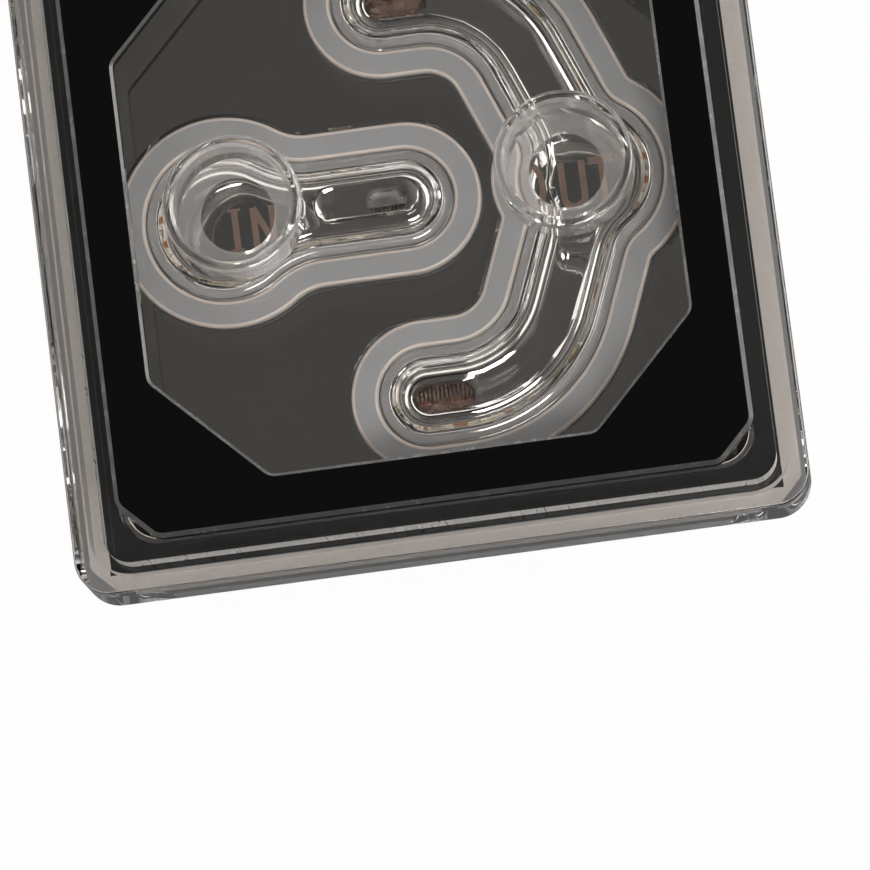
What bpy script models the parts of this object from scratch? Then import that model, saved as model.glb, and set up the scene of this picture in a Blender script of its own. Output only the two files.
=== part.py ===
"""CPU water block: clear acrylic top, black window plate, metal distribution plate and finned cold plate.

The frame is +X from the IN port to the OUT port, +Y away from the viewer of the front side and +Z up.
The origin is the middle of the contact face that rests on the processor. Sizes are in millimetres.
"""

import math

import bmesh
import bpy
from mathutils import Matrix, Vector

MM = 0.001

# Fits
GAP = 0.3
ARC_TOLERANCE = 0.065
SHARPEST_STEP = 45.0
CEILING_STEPS = 4
FLOOR_STEPS = 2
SAME_PLACE = 0.0001
HALFWAY_ROUND = 1 - math.cos(math.radians(45))

# Stack, from the contact face up
PAD_HEIGHT = 1.0
FLANGE_THICKNESS = 3.0
DISTRIBUTION_THICKNESS = 6.0
BODY_HEIGHT = 10.8
DECK_DROP = 1.1
COVER_THICKNESS = 2.0
BOSS_RISE = 5.3

# Acrylic body
OUTER_WALL = 5.5
LIGHT_WALL = 0.8
BODY_CORNER = 4.2
BODY_TOP_BEVEL = 0.3
BODY_FOOT_BEVEL = 0.5
RIM_WIDTH = 2.05
MOAT_WIDTH = 1.45
MOAT_DEPTH = 5.0
MOAT_CORNER = 4.5

# Ports
PORT_SPACING = 38.0
BOSS_WALL = 1.35
BOSS_ROUND = 0.6
PORT_RADIUS = 6.65
PORT_DEPTH = 7.6
PORT_CHAMFER = 0.4
PORT_HOLE_RADIUS = 4.3

# Channels and gaskets
CHANNEL_HALF_WIDTH = 4.6
CHANNEL_HEIGHT = 4.5
CHANNEL_ROUND = 2.9
LOBE_RADIUS = 8.0
LOBE_SHIFT = 1.8
LAND_WIDTH = 0.9
GASKET_WIDTH = 3.1
GASKET_HEIGHT = 1.5
GASKET_ROUND = 0.4
NECK_FILLET = 5.8
KINK_FILLET = 1.0
SLOT_PAST_FINS = 0.7
ARM_BEND_X = 3.8
ARM_BEND_RADIUS = 13.1
ARM_LEAN = 21.5

# Cover plate
COVER_SETBACK = 2.0
COVER_CHAMFER = 4.3
COVER_CORNER_ROUND = 2.2
COVER_BORDER = 5.6
WINDOW_CHAMFER = 12.4
WINDOW_CORNER_ROUND = 1.6
COVER_OUTER_BEVEL = 0.5
COVER_WINDOW_BEVEL = 0.35

# Distribution plate
DISTRIBUTION_SETBACK = 1.0
DISTRIBUTION_CHAMFER = 3.2
DISTRIBUTION_CORNER_ROUND = 1.0
DISTRIBUTION_BEVEL = 0.2
INLET_SHIFT_Y = 0.9
INLET_POCKET_FROM_X = -10.8
INLET_POCKET_TO_X = 2.0
INLET_POCKET_RADIUS = 2.7
INLET_POCKET_DEPTH = 1.2
INLET_POCKET_ROUND = 1.0
OUTLET_BED_HALF_WIDTH = 2.9
OUTLET_BED_DEPTH = 1.2
OUTLET_BED_ROUND = 1.0
INLET_HOLE_X = -2.2
INLET_HOLE_LENGTH = 4.8
INLET_HOLE_RADIUS = 1.4
OUTLET_SLOT_X = 1.4
OUTLET_SLOT_LENGTH = 7.5
OUTLET_SLOT_RADIUS = 2.05
MOUNT_HOLE_EDGE = 3.5
MOUNT_HOLE_RADIUS = 1.6
MOUNT_HOLE_ROOF = 1.0

# Cold plate with its fins
FLANGE_MARGIN = 3.8
FLANGE_CORNER = 4.0
PAD_SETBACK = 1.2
PAD_PAST_FINS = 1.5
PAD_CORNER = 2.0
PAD_BEVEL = 0.4
FIN_PITCH = 0.48
FIN_THICKNESS = 0.24
FIN_COUNT = 62
FIN_LENGTH = 45.0
FIN_HEIGHT = 3.0
FIN_RISE = 1.4
FIN_ROOT = 0.4
FIN_POCKET_CORNER = 0.2

# Chamber, jet plate and chamber seal
CHAMBER_MARGIN = 0.6
CHAMBER_CORNER = 2.0
CHAMBER_PAST_FINS = 3.7
JET_PLATE_THICKNESS = 0.8
JET_PLATE_LENGTH_Y = 38.0
JET_PLATE_CORNER = 1.0
JET_SLOT_WIDTH = 1.2
JET_SLOT_END_WALL = 2.0
SEAL_WALL = 1.2
SEAL_WIDTH = 1.6
SEAL_HEIGHT = 1.3
SEAL_ROUND = 0.3

# Light strip
LIGHT_GROOVE_CORNER = 4.5
STRIP_THICKNESS = 0.5
STRIP_HEIGHT = 5.0
STRIP_LIFT = 0.6
STRIP_HEADROOM = 1.4
STRIP_OPENING_MARGIN = 1.5
LED_CLEARANCE = 0.3
LED_SIZE = 3.0
LED_THICKNESS = 0.9
LED_CORNER = 0.3
LED_BEVEL = 0.1
LED_WINDOW_RADIUS = 1.1
LED_WINDOW_DEPTH = 0.3
LED_WINDOW_SLOPE = 0.2
LEDS_PER_SIDE = 4
LED_END_MARGIN = 13.4
SOCKET_WIDTH = 8.0
SOCKET_HEIGHT = 3.2
SOCKET_LENGTH = 5.5
SOCKET_WALL = 0.6
SOCKET_CORNER = 0.2
SOCKET_CAVITY_DEPTH = 3.4
SOCKET_LIFT = 0.3
SOCKET_SETBACK = 0.4

# Clamp screws and their inserts
CLAMP_WALL = 1.3
CLAMP_SCREW_RADIUS = 2.0
CLAMP_HEAD_RADIUS = 3.5
CLAMP_HEAD_HEIGHT = 2.6
CLAMP_SCREW_LENGTH = 8.6
CLAMP_SCREW_BEVEL = 0.4
CLAMP_SOCKET_WIDTH = 3.0
CLAMP_SOCKET_DEPTH = 1.6
INSERT_RADIUS = 3.0
INSERT_LENGTH = 5.4
WELL_HEADROOM = 0.6

# Cold plate screws
BASE_SCREW_MARGIN = 2.8
BASE_SCREW_RADIUS = 1.25
BASE_HEAD_RADIUS = 2.2
BASE_HEAD_HEIGHT = 1.2
BASE_SCREW_LENGTH = 6.6
BASE_SCREW_BEVEL = 0.3
BASE_SOCKET_WIDTH = 1.5
BASE_SOCKET_DEPTH = 0.8

# Levels that follow from the stack
FLANGE_BOTTOM = PAD_HEIGHT
FLANGE_TOP = PAD_HEIGHT + FLANGE_THICKNESS
FIN_TOP = FLANGE_TOP + FIN_RISE
PLATE_BOTTOM = FLANGE_TOP + GAP
PLATE_TOP = PLATE_BOTTOM + DISTRIBUTION_THICKNESS
BODY_BOTTOM = PLATE_TOP + GAP
RIM_TOP = BODY_BOTTOM + BODY_HEIGHT
DECK = RIM_TOP - DECK_DROP
COVER_BOTTOM = DECK + GAP
BOSS_TOP = DECK + BOSS_RISE
JET_BOTTOM = FIN_TOP + GAP
CHAMBER_TOP = JET_BOTTOM + JET_PLATE_THICKNESS + GAP

# Offsets of the gasket and its groove from the wall of the channel
GROOVE_INNER = LAND_WIDTH
GASKET_INNER = LAND_WIDTH + GAP
GASKET_OUTER = GASKET_INNER + GASKET_WIDTH
GROOVE_OUTER = GASKET_OUTER + GAP

# Places that follow, from the middle outwards
PORT_X = PORT_SPACING / 2
LOBE_X = PORT_X + LOBE_SHIFT
BOSS_RADIUS = PORT_RADIUS + BOSS_WALL
FIN_HALF_WIDTH = ((FIN_COUNT - 1) * FIN_PITCH + FIN_THICKNESS) / 2
CHAMBER_HALF_X = FIN_HALF_WIDTH + CHAMBER_MARGIN
CHAMBER_HALF_Y = FIN_LENGTH / 2 + CHAMBER_PAST_FINS
SEAL_INSET = SEAL_WALL + GAP
SCREW_PAST_CHAMBER = SEAL_INSET + SEAL_WIDTH + BASE_SCREW_MARGIN
BASE_SCREW_X = CHAMBER_HALF_X + SCREW_PAST_CHAMBER
BASE_SCREW_Y = CHAMBER_HALF_Y + SCREW_PAST_CHAMBER
SLOT_OFFSET_Y = FIN_LENGTH / 2 + SLOT_PAST_FINS
WET_REACH = max(LOBE_X + LOBE_RADIUS, SLOT_OFFSET_Y + CHANNEL_HALF_WIDTH) + GROOVE_OUTER
LIGHT_GROOVE_WIDTH = GAP + STRIP_THICKNESS + GAP + LED_THICKNESS + LED_CLEARANCE
LIGHT_GROOVE_HEIGHT = STRIP_LIFT + STRIP_HEIGHT + STRIP_HEADROOM
LIGHT_HALF = WET_REACH + LIGHT_WALL + LIGHT_GROOVE_WIDTH
CLAMP_OFFSET = LIGHT_HALF - LIGHT_GROOVE_WIDTH - CLAMP_WALL - GAP - INSERT_RADIUS
BODY_HALF = LIGHT_HALF + OUTER_WALL
MOAT_HALF = BODY_HALF - RIM_WIDTH
COVER_HALF = MOAT_HALF - MOAT_WIDTH - COVER_SETBACK
WINDOW_HALF = COVER_HALF - COVER_BORDER
DISTRIBUTION_HALF = BODY_HALF - DISTRIBUTION_SETBACK
MOUNT_HOLE_OFFSET = DISTRIBUTION_HALF - MOUNT_HOLE_EDGE
THROUGH = 1.0


def arc_steps(radius, sweep):
    """How many chords follow an arc within the tolerance."""
    if radius < ARC_TOLERANCE:
        return 1
    step = 2 * math.degrees(math.acos(1 - ARC_TOLERANCE / radius))
    return max(1, math.ceil(abs(sweep) / min(step, SHARPEST_STEP) - 1e-6))


def direction(angle):
    return Vector((math.cos(math.radians(angle)), math.sin(math.radians(angle))))


class Outline:
    """A closed run of arcs, anticlockwise, whose ends are joined by straight lines."""

    def __init__(self, arcs):
        self.stations = []
        for centre, radius, start, sweep in arcs:
            steps = arc_steps(radius, sweep)
            for i in range(steps + 1):
                spoke = direction(start + sweep * i / steps)
                self.add_station(Vector(centre) + spoke * radius, spoke if sweep >= 0 else -spoke)
        first = self.stations[0][0]
        if (self.stations[-1][0] - first).length < SAME_PLACE:
            self.stations.pop()

    def add_station(self, place, normal):
        """Adds a corner with its outward direction, unless an arc before it ended here."""
        if not self.stations or (place - self.stations[-1][0]).length > SAME_PLACE:
            self.stations.append((place, normal))

    def points(self, offset=0.0):
        """The corners of the outline moved outwards by the offset, which keeps their number."""
        return [place + normal * offset for place, normal in self.stations]


def circle(x, y, radius):
    return Outline([((x, y), radius, 0, 360)])


def rounded_box(half_x, half_y, corner, x=0.0, y=0.0):
    arcs = []
    for turn, (sx, sy) in enumerate(((1, 1), (-1, 1), (-1, -1), (1, -1))):
        centre = (x + sx * (half_x - corner), y + sy * (half_y - corner))
        arcs.append((centre, corner, 90 * turn, 90))
    return Outline(arcs)


def chamfered_box(half, chamfer, corner):
    """A square whose corners are cut at 45 degrees, each of its eight corners rounded."""
    inset = corner * math.tan(math.radians(22.5))
    arcs = []
    for turn in range(4):
        spin = Matrix.Rotation(math.radians(90 * turn), 2)
        first = spin @ Vector((half - corner, half - chamfer - inset))
        second = spin @ Vector((half - chamfer - inset, half - corner))
        arcs.append((first, corner, 90 * turn, 45))
        arcs.append((second, corner, 90 * turn + 45, 45))
    return Outline(arcs)


def slot(from_x, to_x, y, radius):
    """A round-ended slot along X, between the centres of its ends."""
    return Outline([((to_x, y), radius, -90, 180), ((from_x, y), radius, 90, 180)])


def angle_of(vector):
    return math.degrees(math.atan2(vector.y, vector.x))


def fillet_centre(centre, radius, line_point, normal, along, fillet):
    """Where a fillet touches a circle from outside and a line from the side its normal points to."""
    away = normal.dot(line_point - centre) + fillet
    return centre + normal * away + along * math.sqrt((radius + fillet) ** 2 - away**2)


def inlet_outline():
    """The inlet channel: a lobe round the IN port and a straight run that ends over the jets."""
    lobe = Vector((-LOBE_X, 0))
    fillet = NECK_FILLET + GROOVE_OUTER
    edge = Vector((0, CHANNEL_HALF_WIDTH))
    neck = fillet_centre(lobe, LOBE_RADIUS, edge, Vector((0, 1)), Vector((1, 0)), fillet)
    start = angle_of(neck - lobe)
    turn = start - 90
    return Outline(
        [
            ((0, 0), CHANNEL_HALF_WIDTH, -90, 180),
            (neck, fillet, -90, turn),
            (lobe, LOBE_RADIUS, start, 360 - 2 * start),
            (Vector((neck.x, -neck.y)), fillet, 90 - turn, turn),
        ]
    )


def outlet_outline():
    """The outlet channel: a lobe round the OUT port with one arm to the slot at each end of the fins."""
    port = Vector((PORT_X, 0))
    lobe = Vector((LOBE_X, 0))
    bend = Vector((ARM_BEND_X, SLOT_OFFSET_Y - ARM_BEND_RADIUS))
    normal = direction(ARM_LEAN)
    along = direction(ARM_LEAN + 90)
    fillet = KINK_FILLET + GROOVE_OUTER
    outer = ARM_BEND_RADIUS + CHANNEL_HALF_WIDTH
    inner = ARM_BEND_RADIUS - CHANNEL_HALF_WIDTH
    right = fillet_centre(lobe, LOBE_RADIUS, bend + normal * outer, normal, along, fillet)
    left = fillet_centre(port, CHANNEL_HALF_WIDTH, bend + normal * inner, -normal, along, fillet)
    lobe_end = angle_of(right - lobe)
    port_start = angle_of(left - port)
    upper = [
        (right, fillet, lobe_end + 180, ARM_LEAN - lobe_end),
        (bend, outer, ARM_LEAN, 90 - ARM_LEAN),
        (Vector((0, SLOT_OFFSET_Y)), CHANNEL_HALF_WIDTH, 90, 180),
        (bend, inner, 90, ARM_LEAN - 90),
        (left, fillet, ARM_LEAN, port_start - 180 - ARM_LEAN),
    ]
    lower = []
    for centre, radius, start, sweep in reversed(upper):
        lower.append((Vector((centre.x, -centre.y)), radius, -(start + sweep), sweep))
    middle = [(port, CHANNEL_HALF_WIDTH, port_start, 360 - 2 * port_start)]
    return Outline(upper + middle + lower + [(lobe, LOBE_RADIUS, -lobe_end, 2 * lobe_end)])


def material(name, colour, roughness, metallic=0.0, transmission=0.0):
    made = bpy.data.materials.new(name)
    made.use_nodes = True
    shader = made.node_tree.nodes["Principled BSDF"]
    shader.inputs["Base Color"].default_value = (*colour, 1.0)
    shader.inputs["Roughness"].default_value = roughness
    shader.inputs["Metallic"].default_value = metallic
    shader.inputs["Transmission Weight"].default_value = transmission
    made.diffuse_color = (*colour, 1.0)
    return made


def add_object(name, mesh, finish=None, parent=None):
    thing = bpy.data.objects.new(name, mesh)
    bpy.context.scene.collection.objects.link(thing)
    if finish is not None:
        mesh.materials.append(finish)
    thing.parent = parent
    return thing


def finish_mesh(name, shape):
    bmesh.ops.recalc_face_normals(shape, faces=shape.faces)
    mesh = bpy.data.meshes.new(name)
    shape.to_mesh(mesh)
    shape.free()
    mesh.shade_smooth()
    mesh.set_sharp_from_angle(angle=math.radians(30))
    return mesh


def level_rows(shape, outline, levels):
    rows = []
    for offset, z in levels:
        rows.append([shape.verts.new((p.x * MM, p.y * MM, z * MM)) for p in outline.points(offset)])
    return rows


def wall_between(shape, lower, upper):
    for i, vertex in enumerate(lower):
        after = (i + 1) % len(lower)
        shape.faces.new((vertex, lower[after], upper[after], upper[i]))


def lofted(name, outline, levels):
    """A solid whose section at each level is the outline moved outwards by that level's offset."""
    shape = bmesh.new()
    rows = level_rows(shape, outline, levels)
    for lower, upper in zip(rows, rows[1:]):
        wall_between(shape, lower, upper)
    shape.faces.new(reversed(rows[0]))
    shape.faces.new(rows[-1])
    return finish_mesh(name, shape)


def ringed(name, outline, section):
    """A closed ring that follows the outline; its section is a closed run of offsets and levels."""
    shape = bmesh.new()
    rows = level_rows(shape, outline, section)
    for lower, upper in zip(rows, rows[1:] + rows[:1]):
        wall_between(shape, lower, upper)
    return finish_mesh(name, shape)


def box_section(inner, outer, bottom, top):
    return [(outer, bottom), (outer, top), (inner, top), (inner, bottom)]


def bevelled_section(inner, outer, bottom, top, bevel):
    return [
        (outer - bevel, bottom),
        (outer, bottom + bevel),
        (outer, top - bevel),
        (outer - bevel, top),
        (inner + bevel, top),
        (inner, top - bevel),
        (inner, bottom + bevel),
        (inner + bevel, bottom),
    ]


def cutter(name, mesh):
    thing = add_object(name, mesh)
    thing.hide_render = True
    thing.display_type = "WIRE"
    return thing


def boolean(thing, other, operation):
    modifier = thing.modifiers.new(other.name, "BOOLEAN")
    modifier.operation = operation
    modifier.object = other
    modifier.solver = "EXACT"


def cut(thing, name, mesh):
    boolean(thing, cutter(name, mesh), "DIFFERENCE")


def join(thing, name, mesh):
    boolean(thing, cutter(name, mesh), "UNION")


def corners(x, y):
    """The four places that mirror this one in X and Y."""
    return [(sx * x, sy * y) for sx in (-1, 1) for sy in (-1, 1)]


def port_profile():
    """The port, from the hole that meets the channel to the threaded bore and its mouth."""
    floor = BOSS_TOP - PORT_DEPTH
    step = PORT_HOLE_RADIUS - PORT_RADIUS
    return [
        (step, BODY_BOTTOM - THROUGH),
        (step, floor),
        (0.0, floor),
        (0.0, BOSS_TOP - PORT_CHAMFER),
        (PORT_CHAMFER, BOSS_TOP),
        (PORT_CHAMFER, BOSS_TOP + THROUGH),
    ]


def rounded_ceiling(bottom, top, radius, steps=CEILING_STEPS):
    """Levels of a pocket cut from below whose ceiling is rounded into its walls."""
    levels = [(0.0, bottom)]
    for i in range(steps + 1):
        turn = math.pi / 2 * i / steps
        levels.append((-radius * (1 - math.cos(turn)), top - radius * (1 - math.sin(turn))))
    return levels


def rounded_floor(bottom, top, radius):
    """Levels of a pocket cut from above whose floor is rounded into its walls."""
    mirrored = rounded_ceiling(-top, -bottom, radius, FLOOR_STEPS)
    return [(offset, -z) for offset, z in reversed(mirrored)]


def moat_outline():
    return rounded_box(MOAT_HALF, MOAT_HALF, MOAT_CORNER)


def light_outline():
    return rounded_box(LIGHT_HALF, LIGHT_HALF, LIGHT_GROOVE_CORNER)


def clear_top(finish, parent):
    """The acrylic body: rim, moat, deck and port bosses above, channels and grooves below."""
    block = [
        (-BODY_FOOT_BEVEL, BODY_BOTTOM),
        (0.0, BODY_BOTTOM + BODY_FOOT_BEVEL),
        (0.0, RIM_TOP - BODY_TOP_BEVEL),
        (-BODY_TOP_BEVEL, RIM_TOP),
    ]
    outline = rounded_box(BODY_HALF, BODY_HALF, BODY_CORNER)
    body = add_object("clear_top", lofted("clear_top", outline, block), finish, parent)
    moat = moat_outline()
    cut(body, "recess_cutter", lofted("recess", moat, [(0.0, DECK), (0.0, RIM_TOP + THROUGH)]))
    moat_section = box_section(-MOAT_WIDTH, 0.0, RIM_TOP - MOAT_DEPTH, DECK + THROUGH / 2)
    cut(body, "moat_cutter", ringed("moat", moat, moat_section))
    boss = [
        (0.0, DECK - THROUGH),
        (0.0, BOSS_TOP - BOSS_ROUND),
        (-HALFWAY_ROUND * BOSS_ROUND, BOSS_TOP - HALFWAY_ROUND * BOSS_ROUND),
        (-BOSS_ROUND, BOSS_TOP),
    ]
    below = BODY_BOTTOM - THROUGH
    ceiling = BODY_BOTTOM + CHANNEL_HEIGHT
    for name, x, outline in (("inlet", -PORT_X, inlet_outline()), ("outlet", PORT_X, outlet_outline())):
        join(body, name + "_boss", lofted("boss", circle(x, 0, BOSS_RADIUS), boss))
        channel = rounded_ceiling(below, ceiling, CHANNEL_ROUND)
        cut(body, name + "_channel_cutter", lofted("channel", outline, channel))
        cut(body, name + "_port_cutter", lofted("port", circle(x, 0, PORT_RADIUS), port_profile()))
        groove_top = BODY_BOTTOM + GASKET_HEIGHT + GAP
        groove = box_section(GROOVE_INNER, GROOVE_OUTER, below, groove_top)
        cut(body, name + "_gasket_groove_cutter", ringed("gasket_groove", outline, groove))
    light = box_section(-LIGHT_GROOVE_WIDTH, 0.0, below, BODY_BOTTOM + LIGHT_GROOVE_HEIGHT)
    cut(body, "light_groove_cutter", ringed("light_groove", light_outline(), light))
    notch_middle = (LIGHT_HALF + BODY_HALF) / 2
    notch_reach = (BODY_HALF - LIGHT_HALF) / 2 + THROUGH
    notch = rounded_box(SOCKET_WIDTH / 2 + GAP, notch_reach, SOCKET_CORNER, 0.0, notch_middle)
    notch_top = BODY_BOTTOM + SOCKET_LIFT + SOCKET_HEIGHT + GAP
    cut(body, "socket_notch_cutter", lofted("socket_notch", notch, [(0.0, below), (0.0, notch_top)]))
    screw_tip = PLATE_BOTTOM + CLAMP_HEAD_HEIGHT + CLAMP_SCREW_LENGTH
    well_top = max(screw_tip, BODY_BOTTOM + GAP + INSERT_LENGTH) + WELL_HEADROOM
    for number, (x, y) in enumerate(corners(CLAMP_OFFSET, CLAMP_OFFSET)):
        well = lofted("insert_well", circle(x, y, INSERT_RADIUS + GAP), [(0.0, below), (0.0, well_top)])
        cut(body, f"insert_well_cutter_{number + 1}", well)


def cover_plate(finish, parent):
    """The black plate on the deck, with its octagonal window and polished bevels."""
    top = COVER_BOTTOM + COVER_THICKNESS
    levels = [(0.0, COVER_BOTTOM), (0.0, top - COVER_OUTER_BEVEL), (-COVER_OUTER_BEVEL, top)]
    outline = chamfered_box(COVER_HALF, COVER_CHAMFER, COVER_CORNER_ROUND)
    plate = add_object("cover_plate", lofted("cover_plate", outline, levels), finish, parent)
    window = [
        (0.0, COVER_BOTTOM - THROUGH),
        (0.0, top - COVER_WINDOW_BEVEL),
        (COVER_WINDOW_BEVEL + THROUGH, top + THROUGH),
    ]
    opening = chamfered_box(WINDOW_HALF, WINDOW_CHAMFER, WINDOW_CORNER_ROUND)
    cut(plate, "window_cutter", lofted("window", opening, window))


def gasket(name, outline, finish, parent):
    section = bevelled_section(
        GASKET_INNER, GASKET_OUTER, PLATE_TOP + GAP, PLATE_TOP + GAP + GASKET_HEIGHT, GASKET_ROUND
    )
    add_object(name, ringed(name, outline, section), finish, parent)


def distribution_plate(finish, parent):
    """The metal plate under the acrylic: inlet pocket and hole, outlet bed and slots, chamber, screw holes."""
    levels = [
        (-DISTRIBUTION_BEVEL, PLATE_BOTTOM),
        (0.0, PLATE_BOTTOM + DISTRIBUTION_BEVEL),
        (0.0, PLATE_TOP - DISTRIBUTION_BEVEL),
        (-DISTRIBUTION_BEVEL, PLATE_TOP),
    ]
    outline = chamfered_box(DISTRIBUTION_HALF, DISTRIBUTION_CHAMFER, DISTRIBUTION_CORNER_ROUND)
    plate = add_object("distribution_plate", lofted("distribution_plate", outline, levels), finish, parent)
    above = PLATE_TOP + THROUGH
    below = PLATE_BOTTOM - THROUGH
    from_x = INLET_POCKET_FROM_X + INLET_POCKET_RADIUS
    to_x = INLET_POCKET_TO_X - INLET_POCKET_RADIUS
    pocket = slot(from_x, to_x, INLET_SHIFT_Y, INLET_POCKET_RADIUS)
    pocket_levels = rounded_floor(PLATE_TOP - INLET_POCKET_DEPTH, above, INLET_POCKET_ROUND)
    cut(plate, "inlet_pocket_cutter", lofted("inlet_pocket", pocket, pocket_levels))
    inset = CHANNEL_HALF_WIDTH - OUTLET_BED_HALF_WIDTH
    bed_levels = []
    for offset, z in rounded_floor(PLATE_TOP - OUTLET_BED_DEPTH, above, OUTLET_BED_ROUND):
        bed_levels.append((offset - inset, z))
    cut(plate, "outlet_bed_cutter", lofted("outlet_bed", outlet_outline(), bed_levels))
    chamber = rounded_box(CHAMBER_HALF_X, CHAMBER_HALF_Y, CHAMBER_CORNER)
    cut(plate, "chamber_cutter", lofted("chamber", chamber, [(0.0, below), (0.0, CHAMBER_TOP)]))
    opening = [(0.0, CHAMBER_TOP - THROUGH / 2), (0.0, above)]
    reach = INLET_HOLE_LENGTH / 2 - INLET_HOLE_RADIUS
    hole = slot(INLET_HOLE_X - reach, INLET_HOLE_X + reach, INLET_SHIFT_Y, INLET_HOLE_RADIUS)
    cut(plate, "inlet_hole_cutter", lofted("inlet_hole", hole, opening))
    reach = OUTLET_SLOT_LENGTH / 2 - OUTLET_SLOT_RADIUS
    for number, y in enumerate((-SLOT_OFFSET_Y, SLOT_OFFSET_Y)):
        outlet = slot(OUTLET_SLOT_X - reach, OUTLET_SLOT_X + reach, y, OUTLET_SLOT_RADIUS)
        cut(plate, f"outlet_slot_cutter_{number + 1}", lofted("outlet_slot", outlet, opening))
    seal_groove = box_section(-GAP, SEAL_WIDTH + GAP, below, PLATE_BOTTOM + SEAL_HEIGHT + GAP)
    cut(plate, "seal_groove_cutter", ringed("seal_groove", seal_outline(), seal_groove))
    head_top = PLATE_BOTTOM + CLAMP_HEAD_HEIGHT + GAP
    for number, (x, y) in enumerate(corners(CLAMP_OFFSET, CLAMP_OFFSET)):
        seat = lofted("clamp_seat", circle(x, y, CLAMP_HEAD_RADIUS + GAP), [(0.0, below), (0.0, head_top)])
        shank = lofted("clamp_hole", circle(x, y, CLAMP_SCREW_RADIUS + GAP), [(0.0, below), (0.0, above)])
        cut(plate, f"clamp_seat_cutter_{number + 1}", seat)
        cut(plate, f"clamp_hole_cutter_{number + 1}", shank)
    thread_top = FLANGE_BOTTOM + BASE_SCREW_LENGTH + 2 * GAP
    for number, (x, y) in enumerate(base_screw_places()):
        thread = lofted("base_thread", circle(x, y, BASE_SCREW_RADIUS + GAP), [(0.0, below), (0.0, thread_top)])
        cut(plate, f"base_thread_cutter_{number + 1}", thread)
    depth = [(0.0, below), (0.0, PLATE_TOP - MOUNT_HOLE_ROOF)]
    for number, (x, y) in enumerate(corners(MOUNT_HOLE_OFFSET, MOUNT_HOLE_OFFSET)):
        cut(plate, f"mount_hole_cutter_{number + 1}", lofted("mount_hole", circle(x, y, MOUNT_HOLE_RADIUS), depth))


def seal_outline():
    """The inner edge of the chamber seal, one wall away from the chamber."""
    return rounded_box(CHAMBER_HALF_X + SEAL_INSET, CHAMBER_HALF_Y + SEAL_INSET, CHAMBER_CORNER + SEAL_INSET)


def chamber_seal(finish, parent):
    section = bevelled_section(0.0, SEAL_WIDTH, PLATE_BOTTOM, PLATE_BOTTOM + SEAL_HEIGHT, SEAL_ROUND)
    add_object("chamber_seal", ringed("chamber_seal", seal_outline(), section), finish, parent)


def jet_plate(finish, parent):
    half_x = CHAMBER_HALF_X - GAP
    levels = [(0.0, JET_BOTTOM), (0.0, JET_BOTTOM + JET_PLATE_THICKNESS)]
    sheet = rounded_box(half_x, JET_PLATE_LENGTH_Y / 2, JET_PLATE_CORNER)
    plate = add_object("jet_plate", lofted("jet_plate", sheet, levels), finish, parent)
    radius = JET_SLOT_WIDTH / 2
    reach = half_x - JET_SLOT_END_WALL - radius
    jets = slot(-reach, reach, 0.0, radius)
    through = [(0.0, JET_BOTTOM - THROUGH), (0.0, JET_BOTTOM + JET_PLATE_THICKNESS + THROUGH)]
    cut(plate, "jet_slot_cutter", lofted("jet_slot", jets, through))


def fin_comb():
    """The fins and the floor between them, as one comb-shaped profile drawn out along Y."""
    floor = FIN_TOP - FIN_HEIGHT
    bottom = floor - FIN_ROOT
    half = FIN_HALF_WIDTH
    profile = [(-half, bottom)]
    for i in range(FIN_COUNT):
        left = -half + i * FIN_PITCH
        if i:
            profile.append((left, floor))
        profile.append((left, FIN_TOP))
        profile.append((left + FIN_THICKNESS, FIN_TOP))
        if i < FIN_COUNT - 1:
            profile.append((left + FIN_THICKNESS, floor))
    profile.append((half, bottom))
    shape = bmesh.new()
    ends = []
    for y in (-FIN_LENGTH / 2, FIN_LENGTH / 2):
        ends.append([shape.verts.new((x * MM, y * MM, z * MM)) for x, z in profile])
    wall_between(shape, ends[0], ends[1])
    shape.faces.new(reversed(ends[0]))
    shape.faces.new(ends[1])
    return finish_mesh("fin_comb", shape)


def cold_plate(finish, parent):
    """The copper plate: contact pad below, screw flange, and the fins set in its pocket."""
    flange = rounded_box(BASE_SCREW_X + FLANGE_MARGIN, BASE_SCREW_Y + FLANGE_MARGIN, FLANGE_CORNER)
    plate_mesh = lofted("cold_plate", flange, [(0.0, FLANGE_BOTTOM), (0.0, FLANGE_TOP)])
    plate = add_object("cold_plate", plate_mesh, finish, parent)
    pad_half_x = BASE_SCREW_X - BASE_HEAD_RADIUS - PAD_SETBACK
    pad = rounded_box(pad_half_x, FIN_LENGTH / 2 + PAD_PAST_FINS, PAD_CORNER)
    pad_levels = [(-PAD_BEVEL, 0.0), (0.0, PAD_BEVEL), (0.0, FLANGE_BOTTOM + THROUGH)]
    join(plate, "contact_pad", lofted("contact_pad", pad, pad_levels))
    pocket = rounded_box(FIN_HALF_WIDTH + GAP, FIN_LENGTH / 2 + GAP, FIN_POCKET_CORNER)
    floor = FIN_TOP - FIN_HEIGHT
    cut(plate, "fin_pocket_cutter", lofted("fin_pocket", pocket, [(0.0, floor), (0.0, FIN_TOP + THROUGH)]))
    join(plate, "fins", fin_comb())
    sink = BASE_HEAD_RADIUS - BASE_SCREW_RADIUS
    levels = [
        (sink + GAP, FLANGE_BOTTOM - THROUGH),
        (sink + GAP, FLANGE_BOTTOM + GAP),
        (GAP, FLANGE_BOTTOM + BASE_HEAD_HEIGHT + GAP),
        (GAP, FLANGE_TOP + THROUGH),
    ]
    for number, (x, y) in enumerate(base_screw_places()):
        cut(plate, f"base_hole_cutter_{number + 1}", lofted("base_hole", circle(x, y, BASE_SCREW_RADIUS), levels))


def base_screw_places():
    """Four corner screws and one in the middle of each side."""
    middles = [(0.0, -BASE_SCREW_Y), (0.0, BASE_SCREW_Y), (-BASE_SCREW_X, 0.0), (BASE_SCREW_X, 0.0)]
    return corners(BASE_SCREW_X, BASE_SCREW_Y) + middles


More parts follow.
